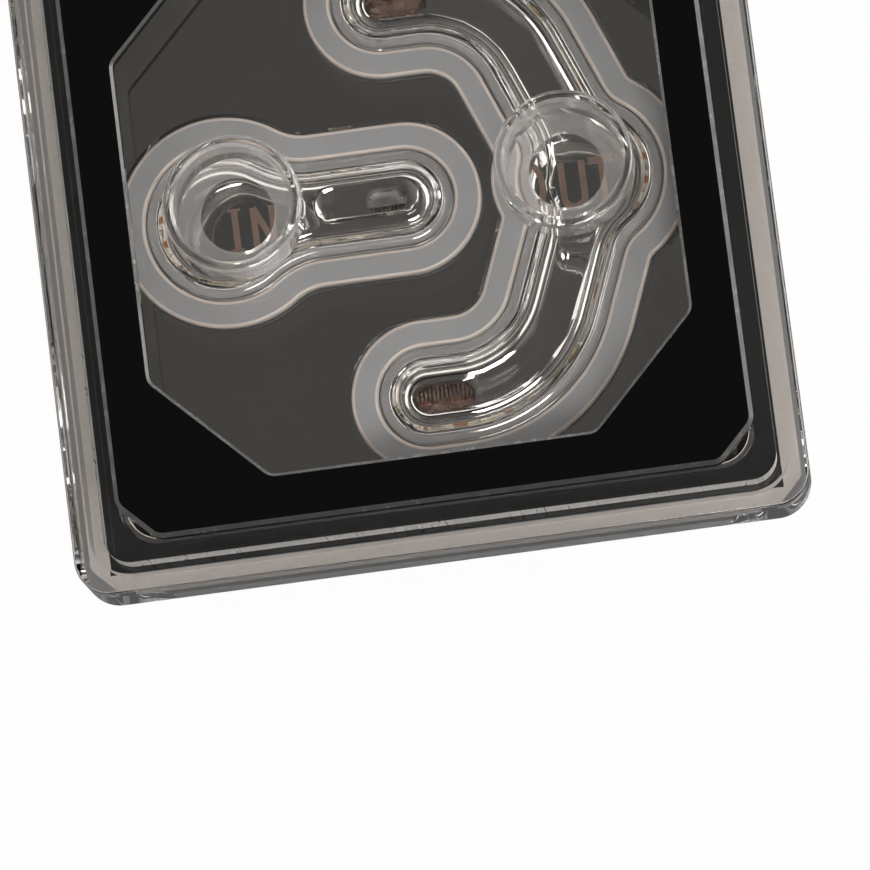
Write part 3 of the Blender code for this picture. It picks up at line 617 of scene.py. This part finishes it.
def dark_nickel():
    """A near mirror, with a near-black band of painted shade under the light strip and deck, and a satin
    border.
    """
    made, tree, shader = new_material("dark_nickel")
    shader.inputs["Specular IOR Level"].default_value = 0.15
    # Painted shade: further out than this reach the plate is near black, less metallic and rougher, as shade
    # under the light strip and deck
    outer = beyond(tree, PAINTED_SHADE_FROM)
    border = beyond(tree, SATIN_FROM)
    tone = colours_between(tree, noise(tree, 40.0, 3.0), (0.50, 0.495, 0.48), (0.56, 0.555, 0.54))
    black = colours_between(tree, noise(tree, 900.0), (0.003, 0.003, 0.003), (0.007, 0.007, 0.007))
    satin = colours_between(tree, noise(tree, 2500.0), (0.27, 0.25, 0.235), (0.35, 0.325, 0.305))
    colour = mixed(tree, border, mixed(tree, outer, tone, black), satin)
    tree.links.new(colour, shader.inputs["Base Color"])
    metallic = maths(tree, "SUBTRACT", 1.0, maths(tree, "MULTIPLY", outer, PAINTED_SHADE_METAL_LOSS))
    tree.links.new(metallic, shader.inputs["Metallic"])
    brushed = ranged(tree, noise(tree, 300.0, 4.0, (1.0, 25.0, 1.0)), 0.02, 0.06, *NOISE_RANGE)
    roughness = maths(tree, "MAXIMUM", brushed, maths(tree, "MULTIPLY", outer, PAINTED_SHADE_ROUGHNESS))
    tree.links.new(roughness, shader.inputs["Roughness"])
    return made


def copper_finish():
    """Clean copper under the flange, and at the fins above it a darker, greyer copper whose darkness is
    painted shade in the closed chamber.
    """
    made, tree, shader = new_material("copper")
    shader.inputs["Metallic"].default_value = 1.0
    tone = noise(tree, 700.0)
    # Painted shade: the fins' copper is darker than the clean copper under the flange
    fins = colours_between(tree, tone, (0.33, 0.215, 0.16), (0.45, 0.315, 0.25))
    clean = colours_between(tree, tone, (0.72, 0.42, 0.3), (0.86, 0.54, 0.41))
    split = add_node(tree, "ShaderNodeSeparateXYZ")
    tree.links.new(object_coordinates(tree), split.inputs["Vector"])
    at_shaded_fins = maths(tree, "GREATER_THAN", split.outputs["Z"], FLANGE_TOP * MM)
    tree.links.new(mixed(tree, at_shaded_fins, clean, fins), shader.inputs["Base Color"])
    tree.links.new(ranged(tree, tone, 0.2, 0.35, *NOISE_RANGE), shader.inputs["Roughness"])
    return made


def metal(name, dark, light, rough_low, rough_high, grain, stretch=None):
    made, tree, shader = new_material(name)
    shader.inputs["Metallic"].default_value = 1.0
    tone = noise(tree, grain, 4.0, stretch)
    tree.links.new(colours_between(tree, tone, dark, light), shader.inputs["Base Color"])
    tree.links.new(ranged(tree, tone, rough_low, rough_high, *NOISE_RANGE), shader.inputs["Roughness"])
    return made


def plain(name, dark, light, rough_low, rough_high, grain):
    made, tree, shader = new_material(name)
    tone = noise(tree, grain)
    tree.links.new(colours_between(tree, tone, dark, light), shader.inputs["Base Color"])
    tree.links.new(ranged(tree, tone, rough_low, rough_high, *NOISE_RANGE), shader.inputs["Roughness"])
    return made


# Pieces


def clear_top(polished, milled, land, bored, frosted):
    """The acrylic body: rim, moat, deck and port bosses above, channels and grooves below."""
    block = [(-BODY_FOOT_BEVEL, BODY_BOTTOM), (0.0, BODY_BOTTOM + BODY_FOOT_BEVEL)]
    block += quarter_round(-BODY_TOP_ROUND, RIM_TOP - BODY_TOP_ROUND, BODY_TOP_ROUND, 0, 3)
    outline = rounded_box(BODY_HALF, BODY_HALF, BODY_CORNER)
    body = place("acrylic_top", lofted("acrylic_top", outline, block, [polished]))
    moat = rounded_box(MOAT_HALF, MOAT_HALF, MOAT_CORNER)
    recess = lofted("recess", moat, [(0.0, DECK), (0.0, RIM_TOP + THROUGH)], [polished])
    cutters = [boolean(body, recess)]
    moat_section = box_section(-MOAT_WIDTH, 0.0, RIM_TOP - MOAT_DEPTH, DECK + THROUGH / 2)
    cutters.append(boolean(body, ringed("moat", moat, moat_section, [polished, frosted], [0, 0, 1, 0])))
    boss = [(0.0, DECK - THROUGH)] + quarter_round(-BOSS_ROUND, BOSS_TOP - BOSS_ROUND, BOSS_ROUND, 0)
    below = BODY_BOTTOM - THROUGH
    ceiling = BODY_BOTTOM + CHANNEL_HEIGHT
    floor = BOSS_TOP - PORT_DEPTH
    step = PORT_HOLE_RADIUS - PORT_RADIUS
    bore = [(step, below), (step, floor), (0.0, floor), (0.0, BOSS_TOP - PORT_CHAMFER)]
    bore += [(PORT_CHAMFER, BOSS_TOP), (PORT_CHAMFER, BOSS_TOP + THROUGH)]
    for x, channel_outline in ((-PORT_X, inlet_outline()), (PORT_X, outlet_outline())):
        cutters.append(boolean(body, lofted("boss", circle(x, 0, BOSS_RADIUS), boss, [polished]), "UNION"))
        channel = [(0.0, below)]
        channel += quarter_round(-CHANNEL_ROUND, ceiling - CHANNEL_ROUND, CHANNEL_ROUND, 0)
        cutters.append(boolean(body, lofted("channel", channel_outline, channel, [milled])))
        cutters.append(boolean(body, lofted("port", circle(x, 0, PORT_RADIUS), bore, [bored])))
        groove = box_section(GROOVE_INNER, GROOVE_OUTER, below, BODY_BOTTOM + GASKET_HEIGHT + GAP)
        cutters.append(boolean(body, ringed("groove", channel_outline, groove, [milled])))
        faced = box_section(-CLEAN_UP, GROOVE_INNER + CLEAN_UP, below, BODY_BOTTOM + CLEAN_UP)
        cutters.append(boolean(body, ringed("land", channel_outline, faced, [land])))
    light = rounded_box(LIGHT_HALF, LIGHT_HALF, LIGHT_GROOVE_CORNER)
    light_section = box_section(-LIGHT_GROOVE_WIDTH, 0.0, below, BODY_BOTTOM + LIGHT_GROOVE_HEIGHT)
    cutters.append(boolean(body, ringed("light_groove", light, light_section, [polished])))
    notch_reach = (BODY_HALF - LIGHT_HALF) / 2 + THROUGH
    notch_y = (LIGHT_HALF + BODY_HALF) / 2
    notch = rounded_box(SOCKET_HALF_WIDTH + GAP, notch_reach, SOCKET_CORNER, 0.0, notch_y)
    cutters.append(boolean(body, lofted("notch", notch, [(0.0, below), (0.0, SOCKET_NOTCH_TOP)], [milled])))
    well_levels = [(0.0, below), (0.0, INSERT_WELL_TOP)]
    for x in (-CLAMP_OFFSET, CLAMP_OFFSET):
        for y in (-CLAMP_OFFSET, CLAMP_OFFSET):
            well = circle(x, y, INSERT_RADIUS + GAP)
            cutters.append(boolean(body, lofted("well", well, well_levels, [milled])))
    apply_all(body, cutters, ACRYLIC_SHARP)
    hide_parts("clear_top")


def cover(black, bevel, back):
    """The black plate with its octagonal window, polished bevels and satin underside."""
    levels = [(0.0, COVER_BOTTOM), (0.0, COVER_TOP - COVER_OUTER_BEVEL), (-COVER_OUTER_BEVEL, COVER_TOP)]
    outline = chamfered_box(COVER_HALF, COVER_CHAMFER, COVER_CORNER_ROUND)
    plate = place("window_plate", lofted("window_plate", outline, levels, [black, bevel], [0, 1]))
    window = [
        (0.0, COVER_BOTTOM - THROUGH),
        (0.0, COVER_TOP - COVER_WINDOW_BEVEL),
        (COVER_WINDOW_BEVEL + THROUGH, COVER_TOP + THROUGH),
    ]
    opening = chamfered_box(WINDOW_HALF, WINDOW_CHAMFER, WINDOW_CORNER_ROUND)
    cutters = [boolean(plate, lofted("window", opening, window, [black, bevel], [0, 1]))]
    apply_all(plate, cutters, COVER_SHARP)
    plate.data.materials.append(back)
    for face in plate.data.polygons:
        if face.normal.z < DOWNWARD_NORMAL:
            face.material_index = len(plate.data.materials) - 1
    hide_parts("cover_plate")


def gasket(name, outline, finish, edge_light_finish):
    """A gasket whose rounded upper edges are paler than its flat: painted light, where the rounded,
    translucent rubber catches light.
    """
    bottom = PLATE_TOP + GAP
    section = rounded_section(GASKET_INNER, GASKET_OUTER, bottom, bottom + GASKET_HEIGHT, GASKET_ROUND)
    corner = ROUND_STEPS + 1
    slots = [0] * corner + [1] * ROUND_STEPS + [0] + [1] * ROUND_STEPS + [0] + [0] * corner
    ring = place("soft_" + name, ringed(name, outline, section, [finish, edge_light_finish], slots))
    smooth(ring, RUBBER_SHARP)
    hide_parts(name)


def ball_floor(floor, reach, offset):
    """Levels of a pocket whose floor rises to the plate's top as an arc over the reach given."""
    depth = PLATE_TOP - floor
    radius = (reach**2 + depth**2) / (2 * depth)
    levels = []
    for i in range(2 * ROUND_STEPS + 1):
        across = reach * i / (2 * ROUND_STEPS)
        rise = radius - math.sqrt(radius**2 - across**2)
        levels.append((offset + across - reach, floor - CLEAN_UP + rise))
    levels.append((offset + CLEAN_UP, PLATE_TOP + THROUGH))
    return levels


def distribution_plate(finish, wall):
    """The CAD plate with finer wet openings, rounded floors and a lowered edge."""
    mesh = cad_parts["distribution_plate"].data.copy()
    mesh.materials.clear()
    mesh.materials.append(finish)
    plate = place("nickel_plate", mesh)
    above = PLATE_TOP + THROUGH
    floor = PLATE_TOP - INLET_POCKET_DEPTH
    from_x = INLET_POCKET_FROM_X + INLET_POCKET_RADIUS
    to_x = INLET_POCKET_TO_X - INLET_POCKET_RADIUS
    pocket = slot(from_x, to_x, INLET_SHIFT_Y, INLET_POCKET_RADIUS)
    pocket_levels = ball_floor(floor, INLET_POCKET_ROUND, CLEAN_UP)
    cutters = [boolean(plate, lofted("pocket", pocket, pocket_levels, [finish]))]
    inset = CHANNEL_HALF_WIDTH - OUTLET_BED_HALF_WIDTH - CLEAN_UP
    bed_levels = ball_floor(PLATE_TOP - OUTLET_BED_DEPTH, OUTLET_BED_ROUND, -inset)
    cutters.append(boolean(plate, lofted("bed", outlet_outline(), bed_levels, [finish])))
    opening = [(CLEAN_UP, CHAMBER_TOP - THROUGH / 2), (CLEAN_UP, PLATE_TOP - SLOT_BEVEL)]
    opening += [(SLOT_BEVEL, PLATE_TOP), (SLOT_BEVEL, above)]
    hole_x = (INLET_HOLE_X - INLET_HOLE_REACH, INLET_HOLE_X + INLET_HOLE_REACH)
    hole = slot(*hole_x, INLET_SHIFT_Y, INLET_HOLE_RADIUS)
    hole_levels = [(CLEAN_UP, CHAMBER_TOP - THROUGH / 2), (CLEAN_UP, above)]
    # The hole's and slots' walls take the near-black wall finish, which is painted shade in these openings
    cutters.append(boolean(plate, lofted("hole", hole, hole_levels, [wall])))
    slot_x = (OUTLET_SLOT_X - OUTLET_SLOT_REACH, OUTLET_SLOT_X + OUTLET_SLOT_REACH)
    for y in (-SLOT_OFFSET_Y, SLOT_OFFSET_Y):
        end = slot(*slot_x, y, OUTLET_SLOT_RADIUS)
        cutters.append(boolean(plate, lofted("outlet", end, opening, [wall, finish, finish], [0, 1, 2])))
    edge = chamfered_box(SATIN_FROM, DISTRIBUTION_CHAMFER, DISTRIBUTION_CORNER_ROUND)
    reach = PLATE_HIGH.x - SATIN_FROM
    fall = [(reach + THROUGH, PLATE_TOP - EDGE_FALL), (reach + THROUGH, PLATE_TOP + THROUGH)]
    fall += [(0.0, PLATE_TOP + THROUGH), (0.0, PLATE_TOP), (reach, PLATE_TOP - EDGE_FALL)]
    cutters.append(boolean(plate, ringed("edge", edge, fall, [finish])))
    apply_all(plate, cutters, METAL_SHARP)
    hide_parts("distribution_plate")


def box_part(shape, middle, size, turn, slot_number):
    """Adds a block with soft edges to a mesh, at a place on the side of the block that the turn gives."""
    made = bmesh.ops.create_cube(shape, size=1.0)
    verts = made["verts"]
    bmesh.ops.scale(shape, vec=Vector(size) * MM, verts=verts)
    edges = list({edge for vert in verts for edge in vert.link_edges})
    rounding = PART_BEVEL * MM
    bevelled = bmesh.ops.bevel(shape, geom=edges, offset=rounding, segments=2, affect="EDGES", profile=0.5)
    bevel_verts = {vert for face in bevelled["faces"] for vert in face.verts}
    verts = list(bevel_verts | {vert for vert in verts if vert.is_valid})
    spin = Matrix.Rotation(math.radians(90 * turn), 4, "Z")
    bmesh.ops.transform(shape, matrix=spin @ Matrix.Translation(Vector(middle) * MM), verts=verts)
    for face in {face for vert in verts for face in vert.link_faces}:
        face.material_index = slot_number


def light_strip(board, backing, copper, black, solder):
    """The strip on edge in its groove, with pads and resistors between its LEDs."""
    half = LIGHT_HALF - GAP
    outline = rounded_box(half, half, LIGHT_GROOVE_CORNER - GAP)
    section = box_section(-STRIP_THICKNESS, 0.0, STRIP_BOTTOM, STRIP_TOP)
    section.append((STRIP_BACKING - STRIP_THICKNESS, STRIP_BOTTOM))
    section.insert(2, (STRIP_BACKING - STRIP_THICKNESS, STRIP_TOP))
    slots = [1, 1, 0, 0, 0, 1]
    strip = place("strip_band", ringed("strip_band", outline, section, [board, backing], slots))
    opening = rounded_box(STRIP_OPENING, LIGHT_GROOVE_WIDTH, SOCKET_CORNER, 0.0, LIGHT_HALF)
    levels = [(0.0, STRIP_BOTTOM - THROUGH), (0.0, STRIP_TOP + THROUGH)]
    apply_all(strip, [boolean(strip, lofted("opening", opening, levels, [board]))], METAL_SHARP)
    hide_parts("light_strip")
    shape = bmesh.new()
    face_y = half - STRIP_THICKNESS
    middle_z = (STRIP_BOTTOM + STRIP_TOP) / 2
    pitch = 2 * (LIGHT_HALF - LED_END_MARGIN) / (LEDS_PER_SIDE - 1)
    for turn in range(4):
        for i in range(1, LEDS_PER_SIDE):
            along = (i - LEDS_PER_SIDE / 2) * pitch
            if turn == 0 and abs(along) < STRIP_OPENING:
                continue
            resistor_y = face_y - RESISTOR_SIZE[1] / 2
            for side in (-1, 1):
                pad = (along + side * PAD_OFFSET, face_y - PAD_SIZE[1] / 2, middle_z)
                box_part(shape, pad, PAD_SIZE, turn, 0)
                end = (along + side * RESISTOR_END_OFFSET, resistor_y, middle_z)
                box_part(shape, end, RESISTOR_END_SIZE, turn, 2)
            box_part(shape, (along, resistor_y, middle_z), RESISTOR_SIZE, turn, 1)
    parts = place("strip_parts", finish_mesh("strip_parts", shape, [copper, black, solder]))


def stroke(shape, start, end, width, bottom, top):
    """A flat bar between two points."""
    start = Vector(start)
    end = Vector(end)
    along = (end - start).normalized()
    across = Vector((-along.y, along.x)) * width / 2
    corners = [start - across, end - across, end + across, start + across]
    lower = [shape.verts.new((c.x * MM, c.y * MM, bottom * MM)) for c in corners]
    upper = [shape.verts.new((c.x * MM, c.y * MM, top * MM)) for c in corners]
    wall_between(shape, lower, upper)
    shape.faces.new(reversed(lower))
    shape.faces.new(upper)


def bent_stroke(shape, centre, radius_x, radius_y, start, sweep, width, bottom, top, steps=BEND_STEPS):
    """A flat bar that follows part of an ellipse."""
    rows = []
    for i in range(steps + 1):
        spoke = direction(start + sweep * i / steps)
        inner = Vector(((radius_x - width / 2) * spoke.x, (radius_y - width / 2) * spoke.y)) + Vector(centre)
        outer = Vector(((radius_x + width / 2) * spoke.x, (radius_y + width / 2) * spoke.y)) + Vector(centre)
        corners = ((inner, bottom), (outer, bottom), (outer, top), (inner, top))
        rows.append([shape.verts.new((p.x * MM, p.y * MM, z * MM)) for p, z in corners])
    for lower, upper in zip(rows, rows[1:]):
        wall_between(shape, lower, upper)
    shape.faces.new(reversed(rows[0]))
    shape.faces.new(rows[-1])


def port_marks(finish):
    """The plain words IN and OUT, marked on the plate under the ports."""
    bottom = PLATE_TOP
    top = PLATE_TOP + MARK_THICKNESS
    shape = bmesh.new()
    low, high = IN_MARK_Y
    i_x, left, right = IN_MARK_X
    stroke(shape, (i_x, low), (i_x, high), MARK_STROKE, bottom, top)
    for y in (low, high):
        ends = (i_x - SERIF_REACH, y), (i_x + SERIF_REACH, y)
        stroke(shape, *ends, SERIF_HEIGHT, bottom, top + MARK_THICKNESS)
    stroke(shape, (left, low), (left, high), MARK_STROKE, bottom, top)
    stroke(shape, (right, low), (right, high), MARK_STROKE, bottom, top)
    stroke(shape, (left, high), (right, low), MARK_STROKE, bottom, top + MARK_THICKNESS)
    mark = place("mark_in", finish_mesh("mark_in", shape, [finish]))
    shape = bmesh.new()
    low, high = OUT_MARK_Y
    o_x, u_left, u_right, t_x = OUT_MARK_X
    middle = (low + high) / 2
    o_height = (high - low) / 2
    bent_stroke(shape, (o_x, middle), O_RADIUS, o_height, 0, 360, MARK_STROKE, bottom, top, 2 * BEND_STEPS)
    bottom = PLATE_TOP - OUTLET_BED_DEPTH - CLEAN_UP
    top = bottom + BED_MARK_THICKNESS
    bowl = (u_right - u_left) / 2
    for x in (u_left, u_right):
        stroke(shape, (x, low + bowl), (x, high), MARK_STROKE, bottom, top)
    bent_stroke(shape, ((u_left + u_right) / 2, low + bowl), bowl, bowl, 180, 180, MARK_STROKE, bottom, top)
    stroke(shape, (t_x, low), (t_x, high), MARK_STROKE, bottom, top)
    bar_y = high - T_DROP
    bar = (t_x - T_REACH, bar_y), (t_x + T_REACH, bar_y)
    stroke(shape, *bar, MARK_STROKE, bottom, top + MARK_THICKNESS)
    mark = place("mark_out", finish_mesh("mark_out", shape, [finish]))


def repaint(names, finish):
    """Gives CAD nodes whose shape is right a finished material."""
    for name in names:
        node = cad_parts[name]
        node.data.materials.clear()
        node.data.materials.append(finish)


# Camera, fitted to the outlines in the photograph

FRAME_PIXELS = 870
FOCAL_PIXELS = 7400
SENSOR_WIDTH = 36.0
CLIP_START = 0.05
CLIP_END = 20
CAMERA_PLACE = Vector((42.9595, -159.9211, RIM_TOP + 826.6306))
CAMERA_RIGHT = Vector((0.98990758, -0.12300412, -0.07037728))
CAMERA_UP = Vector((0.13233953, 0.9799977, 0.14862962))
CAMERA_BACK = Vector((0.05068752, -0.15644329, 0.98638546))


def add_camera():
    data = bpy.data.cameras.new("camera")
    data.lens = FOCAL_PIXELS / FRAME_PIXELS * SENSOR_WIDTH
    data.sensor_width = SENSOR_WIDTH
    data.clip_start = CLIP_START
    data.clip_end = CLIP_END
    camera = bpy.data.objects.new("camera", data)
    bpy.context.scene.collection.objects.link(camera)
    turn = Matrix((CAMERA_RIGHT, CAMERA_UP, CAMERA_BACK)).transposed().to_4x4()
    camera.matrix_world = Matrix.Translation(CAMERA_PLACE * MM) @ turn
    bpy.context.scene.camera = camera


# Floor, lamps and room, in metres
FLOOR_SIZE = 6
FLOOR_DROP = 0.0002
SEEN_SHARE = 0.97
MIRRORED_WHITE = 0.12
MIRRORED_SHARE = 0.85
ROOM_LEVEL = 0.1


def add_floor():
    """A pale floor that shows white behind the block and keeps a soft shadow."""
    bpy.ops.mesh.primitive_plane_add(size=FLOOR_SIZE, location=(0, 0, -FLOOR_DROP))
    floor = bpy.context.active_object
    floor.name = "floor"
    made, tree, shader = new_material("floor")
    shader.inputs["Base Color"].default_value = (0.6, 0.6, 0.6, 1.0)
    shader.inputs["Roughness"].default_value = 0.9
    path = add_node(tree, "ShaderNodeLightPath")
    mirrored = maths(tree, "MAXIMUM", path.outputs["Is Glossy Ray"], path.outputs["Is Transmission Ray"])
    direct = maths(tree, "MULTIPLY", path.outputs["Is Camera Ray"], SEEN_SHARE)
    share = maths(tree, "MAXIMUM", direct, maths(tree, "MULTIPLY", mirrored, MIRRORED_SHARE))
    white = add_node(tree, "ShaderNodeEmission")
    dimmed = maths(tree, "MULTIPLY", mirrored, MIRRORED_WHITE)
    tree.links.new(maths(tree, "MAXIMUM", path.outputs["Is Camera Ray"], dimmed), white.inputs["Strength"])
    mix = add_node(tree, "ShaderNodeMixShader")
    tree.links.new(share, mix.inputs[0])
    tree.links.new(shader.outputs["BSDF"], mix.inputs[1])
    tree.links.new(white.outputs["Emission"], mix.inputs[2])
    tree.links.new(mix.outputs["Shader"], tree.nodes["Material Output"].inputs["Surface"])
    floor.data.materials.append(made)


def add_lamp(name, place_at, size_x, size_y, power):
    """A soft box that faces the block."""
    data = bpy.data.lights.new(name, "AREA")
    data.shape = "RECTANGLE"
    data.size = size_x
    data.size_y = size_y
    data.energy = power
    lamp = bpy.data.objects.new(name, data)
    bpy.context.scene.collection.objects.link(lamp)
    lamp.location = place_at
    lamp.rotation_euler = Vector(place_at).to_track_quat("Z", "Y").to_euler()


def side_light(tree, reach, start, gain):
    """Light that grows from a direction's start towards the horizon."""
    return maths(tree, "MULTIPLY", maths(tree, "MAXIMUM", maths(tree, "SUBTRACT", reach, start), 0.0), gain)


def add_world():
    """A plain room, dim overhead and brighter towards its left, right and far sides."""
    world = bpy.data.worlds.new("room")
    bpy.context.scene.world = world
    world.use_nodes = True
    tree = world.node_tree
    background = tree.nodes["Background"]
    coordinates = add_node(tree, "ShaderNodeTexCoord")
    split = add_node(tree, "ShaderNodeSeparateXYZ")
    tree.links.new(coordinates.outputs["Generated"], split.inputs["Vector"])
    left = side_light(tree, maths(tree, "MULTIPLY", split.outputs["X"], -1.0), 0.15, 0.5)
    right = side_light(tree, split.outputs["X"], 0.25, 0.9)
    behind = side_light(tree, split.outputs["Y"], 0.4, 0.5)
    level = maths(tree, "ADD", maths(tree, "ADD", left, right), maths(tree, "ADD", behind, ROOM_LEVEL))
    tree.links.new(level, background.inputs["Strength"])
    background.inputs["Color"].default_value = (1.0, 0.985, 0.965, 1.0)


def main():
    bpy.context.scene.view_settings.view_transform = "Standard"
    polished = polished_acrylic()
    clear_top(polished, milled_acrylic(), milled_land(), bored_acrylic(), frosted_acrylic())
    back = plain("satin_back", (0.3, 0.3, 0.295), (0.42, 0.42, 0.41), 0.4, 0.6, 900.0)
    cover(black_gloss(), polished_bevel(), back)
    rubber = silicone("silicone", (0.165, 0.168, 0.172), (0.2, 0.204, 0.208))
    # Painted light: a paler copy of the silicone for the gaskets' rounded upper edges
    pale = silicone("silicone_edge_painted_light", (0.34, 0.3, 0.27), (0.4, 0.36, 0.325))
    gasket("inlet_gasket", inlet_outline(), rubber, pale)
    gasket("outlet_gasket", outlet_outline(), rubber, pale)
    # Painted shade: near-black metal for the walls of the openings down to the chamber
    wall = metal("slot_wall_painted_shade", (0.05, 0.047, 0.044), (0.09, 0.085, 0.08), 0.35, 0.5, 900.0)
    distribution_plate(dark_nickel(), wall)
    steel = metal("steel", (0.45, 0.45, 0.44), (0.6, 0.6, 0.59), 0.15, 0.3, 600.0)
    brass = metal("brass", (0.62, 0.47, 0.22), (0.75, 0.6, 0.32), 0.2, 0.35, 600.0)
    board = plain("strip_board", (0.70, 0.63, 0.52), (0.80, 0.74, 0.63), 0.4, 0.6, 900.0)
    package = plain("led_package", (0.75, 0.68, 0.5), (0.85, 0.8, 0.66), 0.3, 0.5, 900.0)
    seal = plain("seal_rubber", (0.02, 0.02, 0.02), (0.04, 0.04, 0.04), 0.5, 0.7, 900.0)
    plastic = plain("socket_plastic", (0.012, 0.012, 0.012), (0.03, 0.03, 0.03), 0.35, 0.55, 900.0)
    names = sorted(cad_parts)
    repaint(["cold_plate"], copper_finish())
    repaint([n for n in names if "screw" in n or n == "jet_plate"], steel)
    repaint([n for n in names if n.startswith("threaded_insert")], brass)
    repaint([n for n in names if n.startswith("led_")], package)
    orange = metal("pad_copper", (0.45, 0.16, 0.06), (0.6, 0.24, 0.1), 0.3, 0.45, 900.0)
    black_part = plain("resistor_black", (0.008, 0.008, 0.008), (0.02, 0.02, 0.02), 0.3, 0.5, 900.0)
    light_strip(board, seal, orange, black_part, steel)
    port_marks(plain("mark_brown", (0.10, 0.066, 0.048), (0.15, 0.1, 0.075), 0.35, 0.55, 1500.0))
    repaint(["chamber_seal"], seal)
    repaint(["light_socket"], plastic)
    add_camera()
    add_floor()
    add_lamp("soft_box_left", (-1.1, 0.45, 0.6), 1.1, 1.1, 7)
    add_lamp("soft_box_right", (1.1, 0.35, 0.65), 1.3, 1.3, 14)
    add_lamp("soft_box_back", (0.1, 1.2, 0.6), 1.6, 0.8, 8)
    add_lamp("soft_box_top", (0.2, -0.5, 1.1), 0.4, 0.25, 6)
    add_world()


main()
